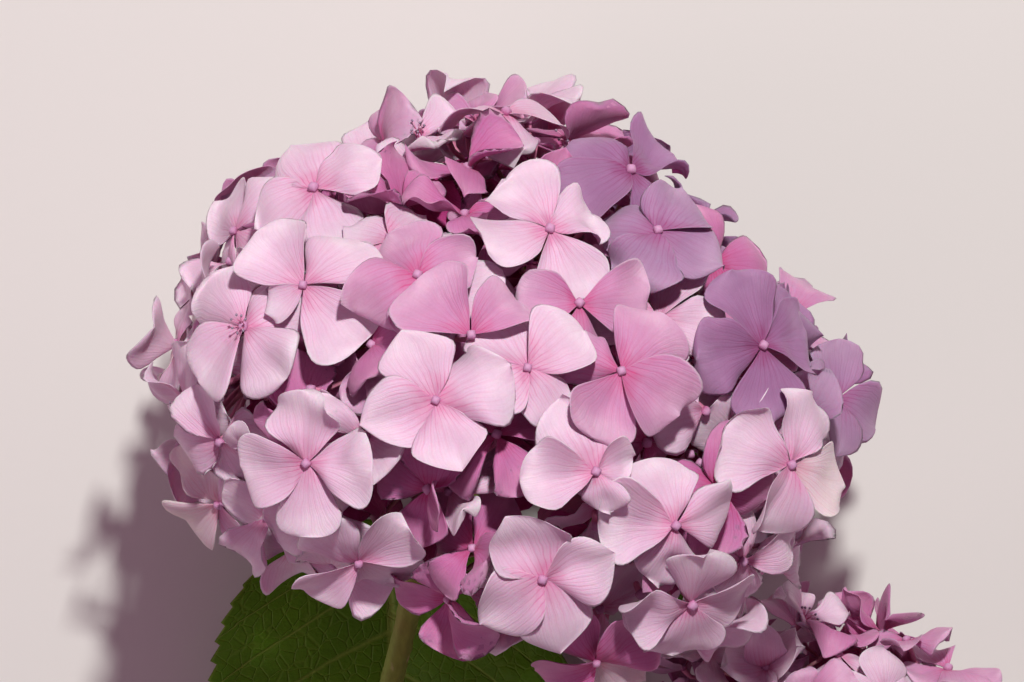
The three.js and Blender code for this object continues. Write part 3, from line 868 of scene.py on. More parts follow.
class Number:
    """A number in a node tree; arithmetic with it adds the nodes that work it out."""

    def __init__(self, graph, socket):
        self.graph = graph
        self.socket = socket

    __add__ = operation("ADD")
    __sub__ = operation("SUBTRACT")
    __mul__ = operation("MULTIPLY")
    __truediv__ = operation("DIVIDE")
    __pow__ = operation("POWER")
    __gt__ = operation("GREATER_THAN")
    __lt__ = operation("LESS_THAN")
    __abs__ = operation("ABSOLUTE")
    fraction = operation("FRACT")
    at_least = operation("MAXIMUM")
    at_most = operation("MINIMUM")
    there_and_back = operation("PINGPONG")

    def __rsub__(self, other):
        return self.graph.math("SUBTRACT", other, self)

    def step(self, low, high):
        """A smooth step from 0 at low to 1 at high."""
        inputs = {"Value": self, "From Min": low, "From Max": high}
        return self.graph.number("ShaderNodeMapRange", inputs, interpolation_type="SMOOTHSTEP")

    def span(self, low, high):
        """A number from 0 to 1 carried to the span from low to high."""
        return self.graph.number("ShaderNodeMapRange", {"Value": self, "To Min": low, "To Max": high})

    def ridge(self, width):
        """1 on every whole number, falling to 0 within the width."""
        return 1 - self.there_and_back(0.5).step(0.0, width)


class Graph:
    """A node tree with short ways to add to it; an input is a number, a socket or a plain value."""

    def __init__(self, tree):
        self.tree = tree

    def feed(self, entry, value):
        value = getattr(value, "socket", value)
        if isinstance(value, bpy.types.NodeSocket):
            self.tree.links.new(value, entry)
        else:
            entry.default_value = value

    def add(self, kind, inputs=None, **settings):
        """A new node's outputs."""
        node = self.tree.nodes.new(kind)
        for name, value in settings.items():
            setattr(node, name, value)
        for name, value in (inputs or {}).items():
            self.feed(node.inputs[name], value)
        return node.outputs

    def number(self, kind, inputs, **settings):
        return Number(self, self.add(kind, inputs, **settings)[0])

    def math(self, operation, *values):
        return self.number("ShaderNodeMath", dict(enumerate(values)), operation=operation)

    def parts(self, place):
        return [Number(self, part) for part in self.add("ShaderNodeSeparateXYZ", {"Vector": place})]

    def noise(self, place, scale, detail=2.0):
        return self.number("ShaderNodeTexNoise", {"Vector": place, "Scale": scale, "Detail": detail})

    def cells(self, place, scale, feature):
        return self.number("ShaderNodeTexVoronoi", {"Vector": place, "Scale": scale}, feature=feature)

    def blend(self, share, first, second, mode="MIX"):
        """The first colour with a share of the second; a mix of colours has them at inputs 6 and 7."""
        inputs = {0: share, 6: first, 7: second}
        return self.add("ShaderNodeMix", inputs, data_type="RGBA", blend_type=mode)[2]

    def lit(self, shade, light):
        """A colour made lighter or darker."""
        grey = self.add("ShaderNodeCombineColor", {"Red": light, "Green": light, "Blue": light})[0]
        return self.blend(1.0, shade, grey, "MULTIPLY")


def pattern_group(name, colours):
    """A new node group that takes a place and some colours and puts out a colour and a relief."""
    tree = bpy.data.node_groups.new(name, "ShaderNodeTree")
    tree.interface.new_socket(name="Place", in_out="INPUT", socket_type="NodeSocketVector")
    for each in colours:
        tree.interface.new_socket(name=each, in_out="INPUT", socket_type="NodeSocketColor")
    tree.interface.new_socket(name="Color", in_out="OUTPUT", socket_type="NodeSocketColor")
    tree.interface.new_socket(name="Relief", in_out="OUTPUT", socket_type="NodeSocketFloat")
    graph = Graph(tree)
    return graph, graph.add("NodeGroupInput")


def finish_group(graph, shade, relief):
    graph.add("NodeGroupOutput", {"Color": shade, "Relief": relief})
    return graph.tree


def sepal_pattern():
    """A saturated throat with veins that fan out of it, a paler blade and a pale thin rim."""
    graph, given = pattern_group("sepal_pattern", ("Throat", "Blade", "Rim", "Back"))
    place = given["Place"]
    x, y, _ = graph.parts(place)
    row = y * CHART_CELLS
    is_back = row > FRONT_CELLS / CHART_CELLS
    inside = 1 - 2 * CHART_EDGE
    s = ((x * CHART_CELLS).fraction() - CHART_EDGE) * (2 / inside) - 1
    t = (row.fraction() - CHART_EDGE) * (1 / inside)
    patches = graph.noise(place, 11)
    grain = graph.noise(place, 150)
    wobble = graph.noise(place, 18, 1.0) - 0.5

    # Veins are rays from the base, which leave the blade by its margin; more start further out.
    outline = t.at_least(0.001) ** 1.3 * (1 - t).at_least(0.001) ** 0.65
    ray = s * (outline / (t + 0.08)) * 1.66 + wobble * 0.1
    veins = 0.0
    for number, reach, width, weight in VEIN_SETS:
        line = (ray * number + 0.37).ridge(width) * t.step(reach, reach + 0.2)
        veins = (line * patches.span(-0.1 * weight, 1.6 * weight)).at_least(veins)

    throat = 1 - (t + wobble * 0.35).step(-0.02, 0.42)
    fading = 1 - t.step(0.15, 0.95)
    tint = throat * 0.7 + veins * (fading * 0.3 + 0.13)
    shade = graph.blend(tint.at_most(1.0), given["Blade"], given["Throat"])
    shade = graph.blend(t.step(0.35, 0.95) * patches.span(-0.1, 0.9), shade, given["Rim"])
    rim = abs(s).step(0.9, 1.0).at_least(t.step(0.965, 1.0))
    shade = graph.blend(rim * 0.3, shade, given["Rim"])
    shade = graph.blend(is_back * patches.span(0.55, 0.95), shade, given["Back"])
    shade = graph.lit(shade, patches.span(0.84, 1.1) + grain.span(-0.06, 0.06))
    sunk = veins * (is_back * 1.7 - 0.8)
    return finish_group(graph, shade, patches * 1.6 + grain * 0.3 + sunk)


def leaf_pattern():
    """A green blade with a paler midrib, side veins that curve up to the margin, and a fine net."""
    graph, given = pattern_group("leaf_pattern", ("Blade", "Vein", "Shade", "Back"))
    x, t, _ = graph.parts(given["Place"])
    halves = x * 2
    is_back = halves > 1
    s = halves.fraction() * 2 - 1
    edge = abs(s)
    mottle = graph.noise(given["Place"], 7, 4.0)
    grain = graph.noise(given["Place"], 130, 3.0)
    straight, curved = BLADE["vein_rise"]
    rise = edge * (edge * curved + straight)
    phase = (t - rise) * BLADE["vein_pairs"] + (s < 0) * BLADE["vein_stagger"]
    side_veins = (phase + mottle.span(-0.08, 0.08)).ridge(edge * -0.05 + 0.085)
    midrib = 1 - edge.step(0.012, 0.04)
    stretched = graph.add("ShaderNodeCombineXYZ", {"X": s * 9, "Y": t * 22, "Z": is_back})[0]
    net = 1 - graph.cells(stretched, 1.6, "DISTANCE_TO_EDGE").step(0.0, 0.09)

    shade = graph.blend(mottle.span(-0.2, 1.1), given["Blade"], given["Shade"])
    shade = graph.blend(is_back * 0.8, shade, given["Back"])
    margin = edge.step(0.965, 1.0)
    for lines, share in ((net, 0.16), (side_veins, 0.55), (midrib, 0.85), (margin, 0.4)):
        shade = graph.blend(lines * share, shade, given["Vein"])
    shade = graph.lit(shade, grain.span(0.88, 1.1))
    sunk = side_veins.at_least(net * 0.5) * (is_back * 1.6 - 0.8)
    return finish_group(graph, shade, grain * 0.5 + sunk)


def bark_pattern():
    """Young green bark with a red-brown flush, fine lengthwise streaks and pale corky specks."""
    graph, given = pattern_group("bark_pattern", ("Green", "Flush", "Speck"))
    place = given["Place"]
    drawn_out = graph.add("ShaderNodeMapping", {"Vector": place, "Scale": (1.0, 0.22, 1.0)})[0]
    streaks = graph.noise(drawn_out, 900, 3.0)
    grain = graph.noise(place, 1600)
    rare = graph.noise(place, 240, 1.0).step(0.45, 0.55)
    specks = (1 - graph.cells(drawn_out, 330, "F1").step(0.1, 0.24)) * rare
    shade = graph.blend(graph.noise(place, 34, 3.0).step(0.42, 0.72), given["Green"], given["Flush"])
    shade = graph.lit(shade, streaks.span(0.78, 1.16) + grain.span(-0.06, 0.06))
    shade = graph.blend(specks * 0.8, shade, given["Speck"])
    return finish_group(graph, shade, specks + streaks * 0.5)


def stalk_pattern():
    """A colour that runs from a stalk's root to its tip, with fine streaks."""
    graph, given = pattern_group("stalk_pattern", ("Root", "Tip"))
    _, along, _ = graph.parts(given["Place"])
    grain = graph.noise(given["Place"], 24, 3.0)
    reach = (along + grain.span(-0.2, 0.2)).step(0.1, 0.9)
    shade = graph.blend(reach, given["Root"], given["Tip"])
    return finish_group(graph, graph.lit(shade, grain.span(0.8, 1.15)), grain)


GROUPS = {
    "sepal": sepal_pattern(),
    "leaf": leaf_pattern(),
    "bark": bark_pattern(),
    "stalk": stalk_pattern(),
}


def make_material(
    name, pattern, colours, relief_depth, roughness, specular=0.4, through=0.0, sheen=0.0, place="UV"
):
    """A material whose colour and relief come from one of the patterns; the depth is in mm."""
    material = bpy.data.materials.new(name)
    material.use_nodes = True
    graph = Graph(material.node_tree)
    inputs = {each.capitalize(): colour(code) for each, code in colours.items()}
    inputs["Place"] = graph.add("ShaderNodeTexCoord")[place]
    made = graph.add("ShaderNodeGroup", inputs, node_tree=GROUPS[pattern])
    relief = {"Distance": relief_depth * METRES, "Height": made["Relief"]}
    finish = {
        "Base Color": made["Color"],
        "Normal": graph.add("ShaderNodeBump", relief)["Normal"],
        "Roughness": roughness,
        "Specular IOR Level": specular,
        "Subsurface Weight": through,
        "Subsurface Radius": (1.0, 0.25, 0.5),
        "Subsurface Scale": 1.0 * METRES,
        "Sheen Weight": sheen,
    }
    shader = material.node_tree.nodes["Principled BSDF"]
    for socket, value in finish.items():
        graph.feed(shader.inputs[socket], value)
    return material


# The stems' curves, and the frame's shift
def grow_stems(small_head):
    stem = bend(STEM["cut"], STEM["cut_heading"], STEM["neck"], STEM["neck_heading"])
    neck = small_head["centre"] - SHOOT["neck_depth"] * SMALL_BLOOM["height"] * small_head["axis"]
    root = bezier(stem, [STEM["shoot_node"]])[0]
    shoot = bend(root, SHOOT["start_heading"], neck, small_head["axis"])
    return {"stem": stem, "shoot": shoot}


large_head, small_head = head_frame(LARGE_BLOOM), head_frame(SMALL_BLOOM)
CURVES = grow_stems(small_head)
towards_large = large_head["centre"] - small_head["centre"]
border = (small_head["centre"] + HEADS_BORDER * towards_large, unit(towards_large))
large_florets = grow_head(LARGE_BLOOM, large_head, border, 1)
small_florets = grow_head(SMALL_BLOOM, small_head, border, -1)

# The frame's large bloom has the same outermost floret tips, so its highest corner gives the shift.
reach_of_tips = floret_outlines(large_florets).reshape(-1, 3).max(0)
SHIFT = np.array(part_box("large_bloom")[1]) / METRES - reach_of_tips


# Camera, floor and lights
FOCUS = np.array([3.85, 13.6, 80.0])  # the point that the camera looks straight down at
CAMERA_HEIGHT = 2500.0  # above that point
VIEW_WIDTH = 245.5  # what the picture's width takes in there
SENSOR_WIDTH = 36
FLOOR_COLOUR = "#e0e0db"
# The lights, with their places in metres from the point that the camera looks at
KEY_LIGHT = {"place": (0.13, 0.6, 1.17), "size": 0.08, "power": 16.8, "tint": (1.0, 0.98, 0.95)}
FILL_LIGHT = {"place": (-1.2, -0.5, 0.9), "size": 1.2, "power": 3.3, "tint": (1.0, 0.72, 0.87)}
SKY_COLOUR = (1.0, 0.54, 0.78, 1.0)
SKY_STRENGTH = 0.17


def add_camera():
    lens = bpy.data.cameras.new("camera")
    lens.sensor_width = SENSOR_WIDTH
    lens.lens = SENSOR_WIDTH * CAMERA_HEIGHT / VIEW_WIDTH
    lens.clip_start = 0.05
    lens.clip_end = 20
    camera = bpy.data.objects.new("camera", lens)
    bpy.context.scene.collection.objects.link(camera)
    camera.location = Vector((FOCUS + SHIFT + [0, 0, CAMERA_HEIGHT]) * METRES)
    camera.rotation_euler = (0, 0, 0)
    bpy.context.scene.camera = camera


def add_light(name, place, size, power, tint):
    """A square soft light aimed at the large bloom."""
    lamp = bpy.data.lights.new(name, "AREA")
    lamp.size = size
    lamp.energy = power
    lamp.color = tint
    light = bpy.data.objects.new(name, lamp)
    bpy.context.scene.collection.objects.link(light)
    light.location = Vector((FOCUS + SHIFT) * METRES) + Vector(place)
    light.rotation_euler = (-Vector(place)).to_track_quat("-Z", "Y").to_euler()


def add_floor():
    mesh = bpy.data.meshes.new("floor")
    half, depth = 6.0, -0.0004
    corners = [(-half, -half, depth), (half, -half, depth), (half, half, depth), (-half, half, depth)]
    mesh.from_pydata(corners, [], [(0, 1, 2, 3)])
    floor = bpy.data.objects.new("floor", mesh)
    bpy.context.scene.collection.objects.link(floor)
    material = bpy.data.materials.new("pale_floor")
    material.use_nodes = True
    shader = material.node_tree.nodes["Principled BSDF"]
    shader.inputs["Base Color"].default_value = colour(FLOOR_COLOUR)
    shader.inputs["Roughness"].default_value = 0.9
    mesh.materials.append(material)


def light_the_world():
    world = bpy.data.worlds.new("studio")
    world.use_nodes = True
    sky = world.node_tree.nodes["Background"]
    sky.inputs["Color"].default_value = SKY_COLOUR
    sky.inputs["Strength"].default_value = SKY_STRENGTH
    bpy.context.scene.world = world


add_camera()
add_floor()
add_light("key", **KEY_LIGHT)
add_light("fill", **FILL_LIGHT)
light_the_world()
bpy.context.scene.view_settings.view_transform = "Standard"


# Blooms
def deal_tones(bloom, florets, outer, sepals, random):
    """The tone of each sepal, by where its floret stands; the first ones are the outer florets."""
    middle = np.array(bloom["centre"][:2])
    away = florets["centre"][:, :2] - middle
    distance = np.linalg.norm(away, axis=1)
    draw = random.random(len(away))
    tone = np.full(len(away), "fresh", dtype=object)
    # Far from the middle more florets are pale, partly as painted light on the head's sides.
    pale_near, pale_far = bloom["pale_above"]
    tone[draw > np.where(distance > PALE_FROM, pale_far, pale_near)] = "pale"
    tone[draw > bloom["rose_above"]] = "rose"
    if bloom is LARGE_BLOOM:
        # Painted shade: the florets on the large bloom's upper right take the darker mauve and lilac tones.
        shaded = (away @ [0.71, 0.71] > PAINTED_SHADE_SIDE) & (away[:, 1] < PAINTED_SHADE_TOP)
        tone[shaded] = "mauve"
        tone[shaded & (draw < PAINTED_SHADE_LILAC_BELOW)] = "lilac"
        tone[shaded & (draw > FRESH_ABOVE)] = "fresh"
        # The low and far-left florets are pale: partly their own paler tone, partly painted light on sides
        # that get little lamp light.
        low = away[:, 1] < PALE_BELOW
        tone[(low | (away[:, 0] < PALE_LEFT)) & ~shaded] = "pale"
        tone[low & (away[:, 0] > ROSE_FROM) & (draw < LOW_ROSE_BELOW)] = "rose"
        tone[florets["open"] & (tone == "rose") & ~low] = "fresh"
    # Painted shade: many florets of the under layer inside the head take the darker rose tone.
    under = np.arange(len(tone)) >= outer
    inside = distance < PAINTED_SHADE_WITHIN * bloom["radius"]
    tone[under & inside & (draw < UNDER_PAINTED_SHADE_BELOW)] = "rose"
    tone = tone[sepals["floret"]]
    out = (sepals["centre"] + sepals["out"] * sepals["reach"][:, None])[:, :2] - middle
    rim = np.linalg.norm(out, axis=1) > CREAM_FROM * bloom["radius"]
    tone[rim & (random.random(len(tone)) < CREAM_BELOW)] = "cream"
    return tone


def ray_tips(bloom, head):
    fork = head["centre"] - head["axis"] * RAY_FORK * bloom["height"]
    tips = []
    for ray in range(bloom["rays"]):
        point, _ = on_head(bloom, head, even_lean(bloom, ray, bloom["rays"]), ray * GOLDEN_TURN)
        tips.append(head["centre"] + RAY_REACH * (point - head["centre"]))
    return fork, settle(np.array(tips))


def stalk_lines(starts, start_headings, ends, end_headings, steps, bow=0.35):
    """Curved lines from many starts to as many ends."""
    distance = np.linalg.norm(ends - starts, axis=1, keepdims=True)
    corners = (starts, starts + bow * distance * start_headings, ends - bow * distance * end_headings, ends)
    return bezier(corners, np.linspace(0, 1, steps))


def beads(centre, facing, first, second, turn, radius, rows=6, sides=12):
    """Four-lobed closed buds that stand on their florets' middles."""
    level = math.pi * (np.arange(rows) + 1) / (rows + 1)
    around = 2 * math.pi * np.arange(sides) / sides
    lobes = 1 + 0.13 * np.cos(4 * around)
    x = np.sin(level)[:, None] * np.cos(around) * lobes
    y = np.sin(level)[:, None] * np.sin(around) * lobes
    z = np.broadcast_to(-np.cos(level)[:, None] * 0.95 + 0.5, x.shape)
    ends = np.array([[0, 0, -0.45], [0, 0, 1.36]])
    local = np.concatenate([np.stack([x, y, z], -1).reshape(-1, 3), ends])
    spin = np.asarray(turn)[:, None]
    right = first * np.cos(spin) + second * np.sin(spin)
    ahead = second * np.cos(spin) - first * np.sin(spin)
    radius = np.asarray(radius)[:, None, None]
    points = right[:, None] * local[:, :1] + ahead[:, None] * local[:, 1:2]
    points = points + facing[:, None] * local[:, 2:]
    return settle(centre[:, None] + points * radius), dome_template(rows, sides)


def stamen_parts(florets, radius, random, number=7):
    """Thin filaments with a small head each, round the middle of a few open florets."""
    count = len(florets["width"])
    turn = 2 * math.pi * np.arange(number) / number + random.uniform(0, 0.5, (count, number))
    out = headings_round(florets, turn)
    facing = np.broadcast_to(florets["facing"][:, None], out.shape)
    height = random.uniform(2.2, 3.8, (count, number, 1))
    start = florets["centre"][:, None] + facing * 0.6 + out * radius * 0.6
    end = start + facing * height + out * height * random.uniform(0.25, 0.7, (count, number, 1))
    flat = [value.reshape(-1, 3) for value in (start, facing, end, out)]
    lines = stalk_lines(*flat, 5)
    filaments, template = tubes(lines, 0.13, 4)
    side = unit(np.cross(flat[3], flat[1]))
    even = np.ones(len(side))
    heads = beads(flat[2], flat[1], flat[3], side, 0 * even, 0.36 * even, 3, 6)
    return (settle(filaments), template), heads


def grow_sepals(bloom, head, florets, random):
    """The florets with a layer under them, and the sepals of both, bent clear of one another."""
    size, spacing = bloom["under_layer"]
    under = grow_layer_within(bloom, head, size, spacing, bloom["seed"] + 9, 0.7)
    shown = {key: np.concatenate([florets[key], under[key]]) for key in florets}
    shown = turn_to_light(ruffle(shown, random))
    sepals = draw_sepals(shown, random, CLOSING)
    sink_into_head(bloom, head, shown, sepals, random)
    bend_sepals_clear(bloom, head, sepals)
    return shown, clear_crossings(head, sepals, shown["open"])


def make_sepals(bloom, shown, outer, sepals, materials, random):
    """A piece for each tone; the sepals of the outer florets, the first ones, have finer skins."""
    tone = deal_tones(bloom, shown, outer, sepals, random)
    cells = random.integers(0, FRONT_CELLS, len(tone))
    is_outer = sepals["floret"] < outer
    for each in sorted(set(tone)):
        parts = []
        for which, columns, stations in (
            (is_outer, FINE_COLUMNS, FINE_STATIONS),
            (~is_outer, MIDDLING_COLUMNS, MIDDLING_STATIONS),
        ):
            some = which & (tone == each)
            if some.any():
                parts.append((*sepal_points(chosen(sepals, some), columns, stations), cells[some]))
        make_piece(f"{bloom['name']}_sepals_{each}", materials[each], "petals", bloom["name"], *parts)


def place_buds(bloom, florets, random):
    """Closed buds beside some of the florets and a little further in."""
    spots = random.permutation(len(florets["width"]))[: bloom["buds"]]
    buds = chosen(florets, spots)
    offset = random.normal(0, BUD_SCATTER, (len(spots), 3))
    inward = random.uniform(*BUD_DEPTH, (len(spots), 1))
    offset = offset - (offset * buds["facing"]).sum(1, keepdims=True) * buds["facing"]
    return {**buds, "centre": buds["centre"] + offset - inward * buds["facing"]}


def stalk_tubes(bloom, fork, tips, florets, buds):
    """A stalk to each floret and bud from the nearest ray's tip."""
    ends = np.concatenate([florets["centre"] - florets["facing"] * 0.3, buds["centre"]])
    headings = np.concatenate([florets["facing"], buds["facing"]])
    starts = tips[np.linalg.norm(ends[:, None] - tips[None], axis=2).argmin(1)]
    leaving = unit(starts - fork)
    lines = settle(stalk_lines(starts - leaving * 2, leaving, ends, headings, len(STALK_GIRTH)))
    return tubes(lines, bloom["stalk_radius"] * np.array(STALK_GIRTH), 6)


def ray_tubes(bloom, head, fork, tips, carrier):
    """The neck, which goes on from the end of the stem that carries it, and the rays from its fork."""
    start = np.broadcast_to(fork, tips.shape)
    heading = np.broadcast_to(head["axis"], tips.shape)
    rays = settle(stalk_lines(start, heading, tips, unit(tips - fork), 9, 0.22))
    start, heading = point_and_heading(carrier, 1 - 2e-4)
    neck = bend(start - heading * 0.5, heading, fork + head["axis"] * 2, head["axis"])
    neck = bezier(neck, np.linspace(0, 1, len(NECK_GIRTH)))
    return (
        tubes(rays, bloom["ray_radius"] * np.linspace(1.6, 0.95, 9), 8),
        tubes(neck[None], bloom["neck_radius"] * np.array(NECK_GIRTH), 16),
    )


def dress_bloom(bloom, head, florets, carrier, materials):
    random = np.random.default_rng(bloom["seed"])
    name, outer = bloom["name"], len(florets["width"])
    inner_layers = []
    for number, (size, spacing) in enumerate(bloom["inner_layers"]):
        layer = grow_layer_within(bloom, head, size, spacing, bloom["seed"] + 10 + number, 0.5)
        inner_layers.append(layer)
    shown, sepals = grow_sepals(bloom, head, florets, random)
    make_sepals(bloom, shown, outer, sepals, materials, random)
    within = []
    for layer in inner_layers:
        inner = clear_of(draw_sepals(layer, random, INNER_CLOSING), sepals)
        points, template = sepal_points(inner, PLAIN_COLUMNS, PLAIN_STATIONS)
        within.append((points, template, random.integers(0, FRONT_CELLS, len(points))))
    # The inner layers take the dark tone of painted shade.
    make_piece(f"{name}_sepals_within", materials["painted_shade_deep"], "petals", name, *within)

    def beads_on(some, low, high):
        """A bead on each floret's middle, of a size drawn between two shares of the bloom's own."""
        radius = bloom["bead_radius"] * random.uniform(low, high, len(some["width"]))
        return beads(*[some[key] for key in ("centre", "facing", "first", "second", "turn")], radius)

    florets = chosen(shown, np.arange(outer))
    everyone = {key: np.concatenate([layer[key] for layer in (shown, *inner_layers)]) for key in shown}
    middles = beads_on(everyone, 0.85, 1.1)
    buds = place_buds(bloom, florets, random)
    make_piece(f"{name}_buds", materials["bud"], "petals", name, middles, beads_on(buds, 0.9, 1.35))
    with_stamens = chosen(florets, random.random(outer) < STAMENS_IN)
    filaments, anthers = stamen_parts(with_stamens, bloom["bead_radius"], random)
    make_piece(f"{name}_filaments", materials["filament"], "petals", name, filaments)
    make_piece(f"{name}_anthers", materials["anther"], "petals", name, anthers)
    fork, tips = ray_tips(bloom, head)
    stalks = stalk_tubes(bloom, fork, tips, everyone, buds)
    make_piece(f"{name}_stalks", materials["stalk"], "petals", name, stalks)
    rays = ray_tubes(bloom, head, fork, tips, carrier)
    make_piece(f"{name}_rays", materials["ray"], "petals", name, *rays)


# Leaves
def midrib_points(leaf, along):
    heading = math.radians(leaf["heading"])
    ahead = np.array([math.sin(heading), math.cos(heading), 0])
    side = np.array([math.cos(heading), -math.sin(heading), 0])
    t = np.asarray(along, float)[..., None]
    base = np.array([leaf["base"][0], leaf["base"][1], 0.0])
    drop = (leaf["base"][2] - leaf["rest"]) * (1 - t) ** 3
    height = leaf["rest"] + drop + leaf["crest"] * np.sin(math.pi * t) ** 2
    place = base + ahead * leaf["length"] * t + side * leaf["bow"] * np.sin(math.pi * t)
    return place + height * [0, 0, 1], side


def leaf_points(leaf):
    """A toothed blade, quilted between its side veins, with grooves over them and ribs below."""
    across, along, template = two_skin_template(BLADE_COLUMNS, BLADE_STATIONS)
    along = np.linspace(0, 1, len(along))
    rib, side = midrib_points(leaf, along)
    s, t = across[None, :], along[:, None]
    outline = np.sin(math.pi * t ** BLADE["widest"]) ** BLADE["fullness"]
    half = 0.5 * leaf["width"] * outline
    tooth = (BLADE["teeth"] * t) % 1
    cut = BLADE["tooth_depth"] * (1 - tooth) * np.abs(s) ** 12 * np.sin(math.pi * t)
    out = half * s * (1 - cut)
    straight, curved = BLADE["vein_rise"]
    rise = straight * np.abs(s) + curved * s * s
    phase = BLADE["vein_pairs"] * (t - rise) + BLADE["vein_stagger"] * (s < 0)
    away = np.abs(phase - np.round(phase))
    swelling = np.abs(s) ** 0.4 * (1 - np.abs(s) ** 5) * np.sin(math.pi * t) ** 0.5
    quilting = BLADE["quilting"] * leaf["width"] / BLADE["quilted_width"]
    quilting = quilting * (0.5 - 0.5 * np.cos(2 * math.pi * away))
    groove, rib_below = [
        depth * np.exp(-((away / spread) ** 2)) for depth, spread in (BLADE["groove"], BLADE["side_rib"])]
    rise = half * (BLADE["fold"] * np.abs(s) + BLADE["ripple"] * s * np.sin(9 * t))
    depth, waves = BLADE["margin_wave"]
    rise = rise + half * depth * np.abs(s) ** 3 * np.sin(waves * t + 2 * np.sign(s))
    rise = rise + swelling * (quilting - groove)
    rise = rise - BLADE["midrib_groove"] * np.exp(-((half * s) ** 2)) * np.sin(math.pi * t) ** 0.3
    upper = rib[:, None] + side * out[..., None] + rise[..., None] * [0, 0, 1]
    depth = BLADE["thickness"] * (1 - BLADE["edge_thinning"] * np.abs(s) ** 4)
    midrib = np.exp(-((half * s / BLADE["midrib_spread"]) ** 2))
    depth = depth + BLADE["rib"] * (1 - 0.85 * t) * midrib + rib_below * swelling
    lower = upper - depth[..., None] * [0, 0, 1]
    ends = np.stack([rib[0], rib[-1]])
    points = np.concatenate([ends, upper[1:-1].reshape(-1, 3), lower[1:-1, 1:-1].reshape(-1, 3)])
    points[:, 2] = np.maximum(points[:, 2], BLADE["lowest"])
    return points[None], leaf_chart(template, along)


def leaf_chart(template, along):
    """The upper skin on the left half of the chart and the lower skin on the right half."""
    stations = len(along) - 1
    placed = []
    for faces, chart, back in template:
        row = np.arccos(np.clip(1 - 2 * chart[..., 1:], -1, 1)) / math.pi * stations
        t = np.round(row) / stations
        s = 0.002 + 0.996 * chart[..., :1]
        placed.append((faces, np.concatenate([(s + back) / 2, t], -1), back))
    return placed


def dress_leaf(leaf, materials):
    name = leaf["name"]
    make_piece(f"{name}_blade", materials["leaf"], "leaves", name, leaf_points(leaf))
    start, tangent = point_and_heading(CURVES[leaf["carrier"]], leaf["node"])
    base, _ = midrib_points(leaf, np.array([0.0, 0.05]))
    onward = unit(base[1] - base[0])
    outward = np.cross(tangent, [0, 0, leaf["side"]]) + 0.3 * tangent
    along = np.linspace(0, 1, 26)
    stalk = bezier(bend(start, outward, base[0] + 5 * onward, onward), along)
    flare, narrowing = BLADE["stalk_flare"]
    girth = mix((BLADE["stalk_radius"], BLADE["rib"]), along)
    girth = girth + flare * np.exp(-((along * narrowing) ** 2))
    girth[-2:] = (1.0, 0.5)
    make_piece(f"{name}_stalk", materials["petiole"], "leaves", name, tubes(stalk[None], girth, 14))


# Stems
def stem_girth(curve, ends, nodes, made, along):
    """The radius along a stem, from one end's to the other's, with a swelling at each node."""
    length = length_of(bezier(curve, np.linspace(0, 1, 400)))
    girth = mix(ends, along)
    for node in nodes:
        away = (along - node) * length
        girth = girth + made["node_swell"] * np.exp(-((away / made["node_spread"]) ** 2))
        # A fine collar, the scar line that joins the pair of leaf stalks round the stem.
        girth = girth + 0.35 * np.exp(-((away / 0.7) ** 2))
    return girth


def relief_on_stem(points, steps, sides, specks, random, rib=0.09, grain=0.05, speck=0.32):
    """Low ribs along the stem and small corky specks, pushed out from the middle line."""
    rings = points.reshape(steps, sides, 3)
    middle = rings.mean(1, keepdims=True)
    out = unit(rings - middle)
    turn = 2 * math.pi * np.arange(sides) / sides
    push = rib * np.cos(6 * turn)[None, :] + grain * random.normal(0, 1, (steps, sides))
    flat = rings.reshape(-1, 3)
    for _ in range(specks):
        centre = flat[random.integers(len(flat))]
        offset = rings - centre
        across = offset[..., 0] ** 2 + offset[..., 2] ** 2
        push = push + speck * np.exp(-((offset[..., 1] / 1.1) ** 2) - across / 0.5**2)
    push[0] = 0
    push[-1] = 0
    return (rings + out * push[..., None]).reshape(1, -1, 3)


# The cut face from its rind inwards: share of the stem's radius, and depth.
CUT_PROFILE = (
    (1.0, 0.0), (0.97, -0.3), (0.9, -0.35), (0.55, -0.25), (0.5, -0.05), (0.42, 0.05), (0.15, 0.0))


def cut_face_points(stem_start, heading, radius, sides=32):
    """A slightly dished face: rind, pale wood and a soft pith in the middle."""
    turn = 2 * math.pi * np.arange(sides) / sides
    first = unit(np.cross(heading, [0, 0, 1]))
    second = np.cross(heading, first)
    around = first * np.cos(turn)[:, None] + second * np.sin(turn)[:, None]
    rings = []
    for share, depth in CUT_PROFILE:
        rings.append(stem_start + around * radius * share + heading * depth)
    points = np.concatenate(rings)
    ends = np.stack([stem_start + heading * 0.6, stem_start])
    return np.concatenate([points, ends])[None], dome_template(len(rings), sides)


def dress_stem(curve, made, ends, nodes, steps, sides, specks, material, random, narrowing=22):
    """Bark round one stem, which flares at its root and narrows again."""
    along = np.linspace(0, 1, steps)
    girth = stem_girth(curve, ends, nodes, made, along)
    girth = girth + made["flare"] * np.exp(-((along * narrowing) ** 2))
    points, template = tubes(bezier(curve, along)[None], girth, sides)
    points = relief_on_stem(points, steps, sides, specks, random)
    make_piece(f"{made['name']}_bark", material, "stem", made["name"], (points, template))


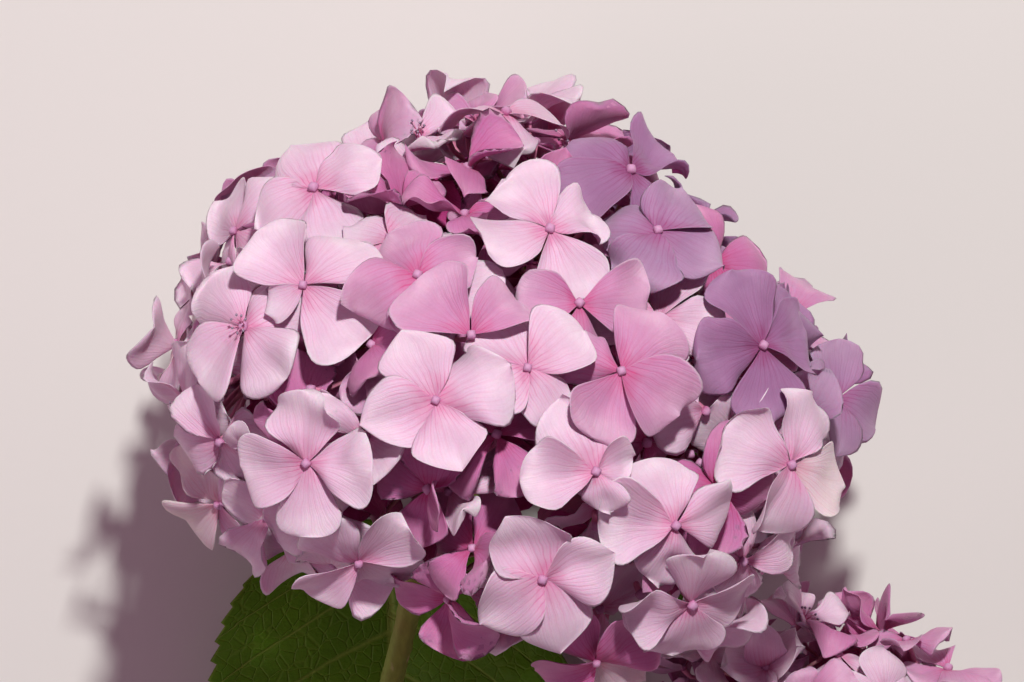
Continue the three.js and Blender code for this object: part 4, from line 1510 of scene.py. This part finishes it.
def dress_stems(bark, cut):
    random = np.random.default_rng(5)
    ends, nodes = (STEM["cut_radius"], STEM["neck_radius"]), (STEM["lower_node"], STEM["upper_node"])
    dress_stem(CURVES["stem"], STEM, ends, nodes, 300, 36, 110, bark, random)
    start, heading = point_and_heading(CURVES["stem"], 1e-4)
    face = cut_face_points(start, heading, STEM["cut_radius"])
    make_piece("main_stem_cut_face", cut, "stem", "main_stem", face)
    ends = (SHOOT["root_radius"], SHOOT["neck_radius"])
    dress_stem(CURVES["shoot"], SHOOT, ends, (SHOOT["node"],), 170, 28, 40, bark, random)


def make_materials():
    materials = {}
    for name, tones in TONES.items():
        materials[name] = make_material(f"sepals_{name}", "sepal", tones, 0.065, 0.64, 0.26, 0.3, 0.12)
    # Each stalk-like kind: name, colours of root and tip, relief, roughness, specular, light let through
    for kind, name, root, tip, *finish in (
        ("bud", "closed_buds", "#a8447c", "#cf9cc2", 0.1, 0.55, 0.3, 0.2),
        ("filament", "filaments", "#d55a8f", "#e6a8c6", 0.02, 0.5),
        ("anther", "anthers", "#6a4a63", "#9c8ba0", 0.02, 0.6),
        ("stalk", "floret_stalks", "#a9a35f", "#cf7f9f", 0.05, 0.5, 0.4, 0.2),
        ("ray", "rays", "#9db04a", "#b99a72", 0.1, 0.5, 0.4, 0.1),
        ("petiole", "leaf_stalks", "#7d8b3d", "#8fa851", 0.1, 0.45, 0.45, 0.1),
        ("cut", "cut_face", "#8d8748", "#efe8c8", 0.2, 0.7),
    ):
        materials[kind] = make_material(name, "stalk", {"root": root, "tip": tip}, *finish)
    leaf = {"blade": "#66a30e", "vein": "#93b848", "shade": "#4b800c", "back": "#6f9a58"}
    materials["leaf"] = make_material("leaf_blades", "leaf", leaf, 0.35, 0.5, 0.3, 0.08)
    bark = {"green": "#869a3a", "flush": "#8a6f3c", "speck": "#c9b88c"}
    materials["bark"] = make_material("young_bark", "bark", bark, 0.2, 0.6, 0.35, place="Object")
    return materials


MATERIALS = make_materials()
dress_bloom(LARGE_BLOOM, large_head, large_florets, CURVES["stem"], MATERIALS)
dress_bloom(SMALL_BLOOM, small_head, small_florets, CURVES["shoot"], MATERIALS)
for leaf in LEAVES:
    dress_leaf(leaf, MATERIALS)
dress_stems(MATERIALS["bark"], MATERIALS["cut"])
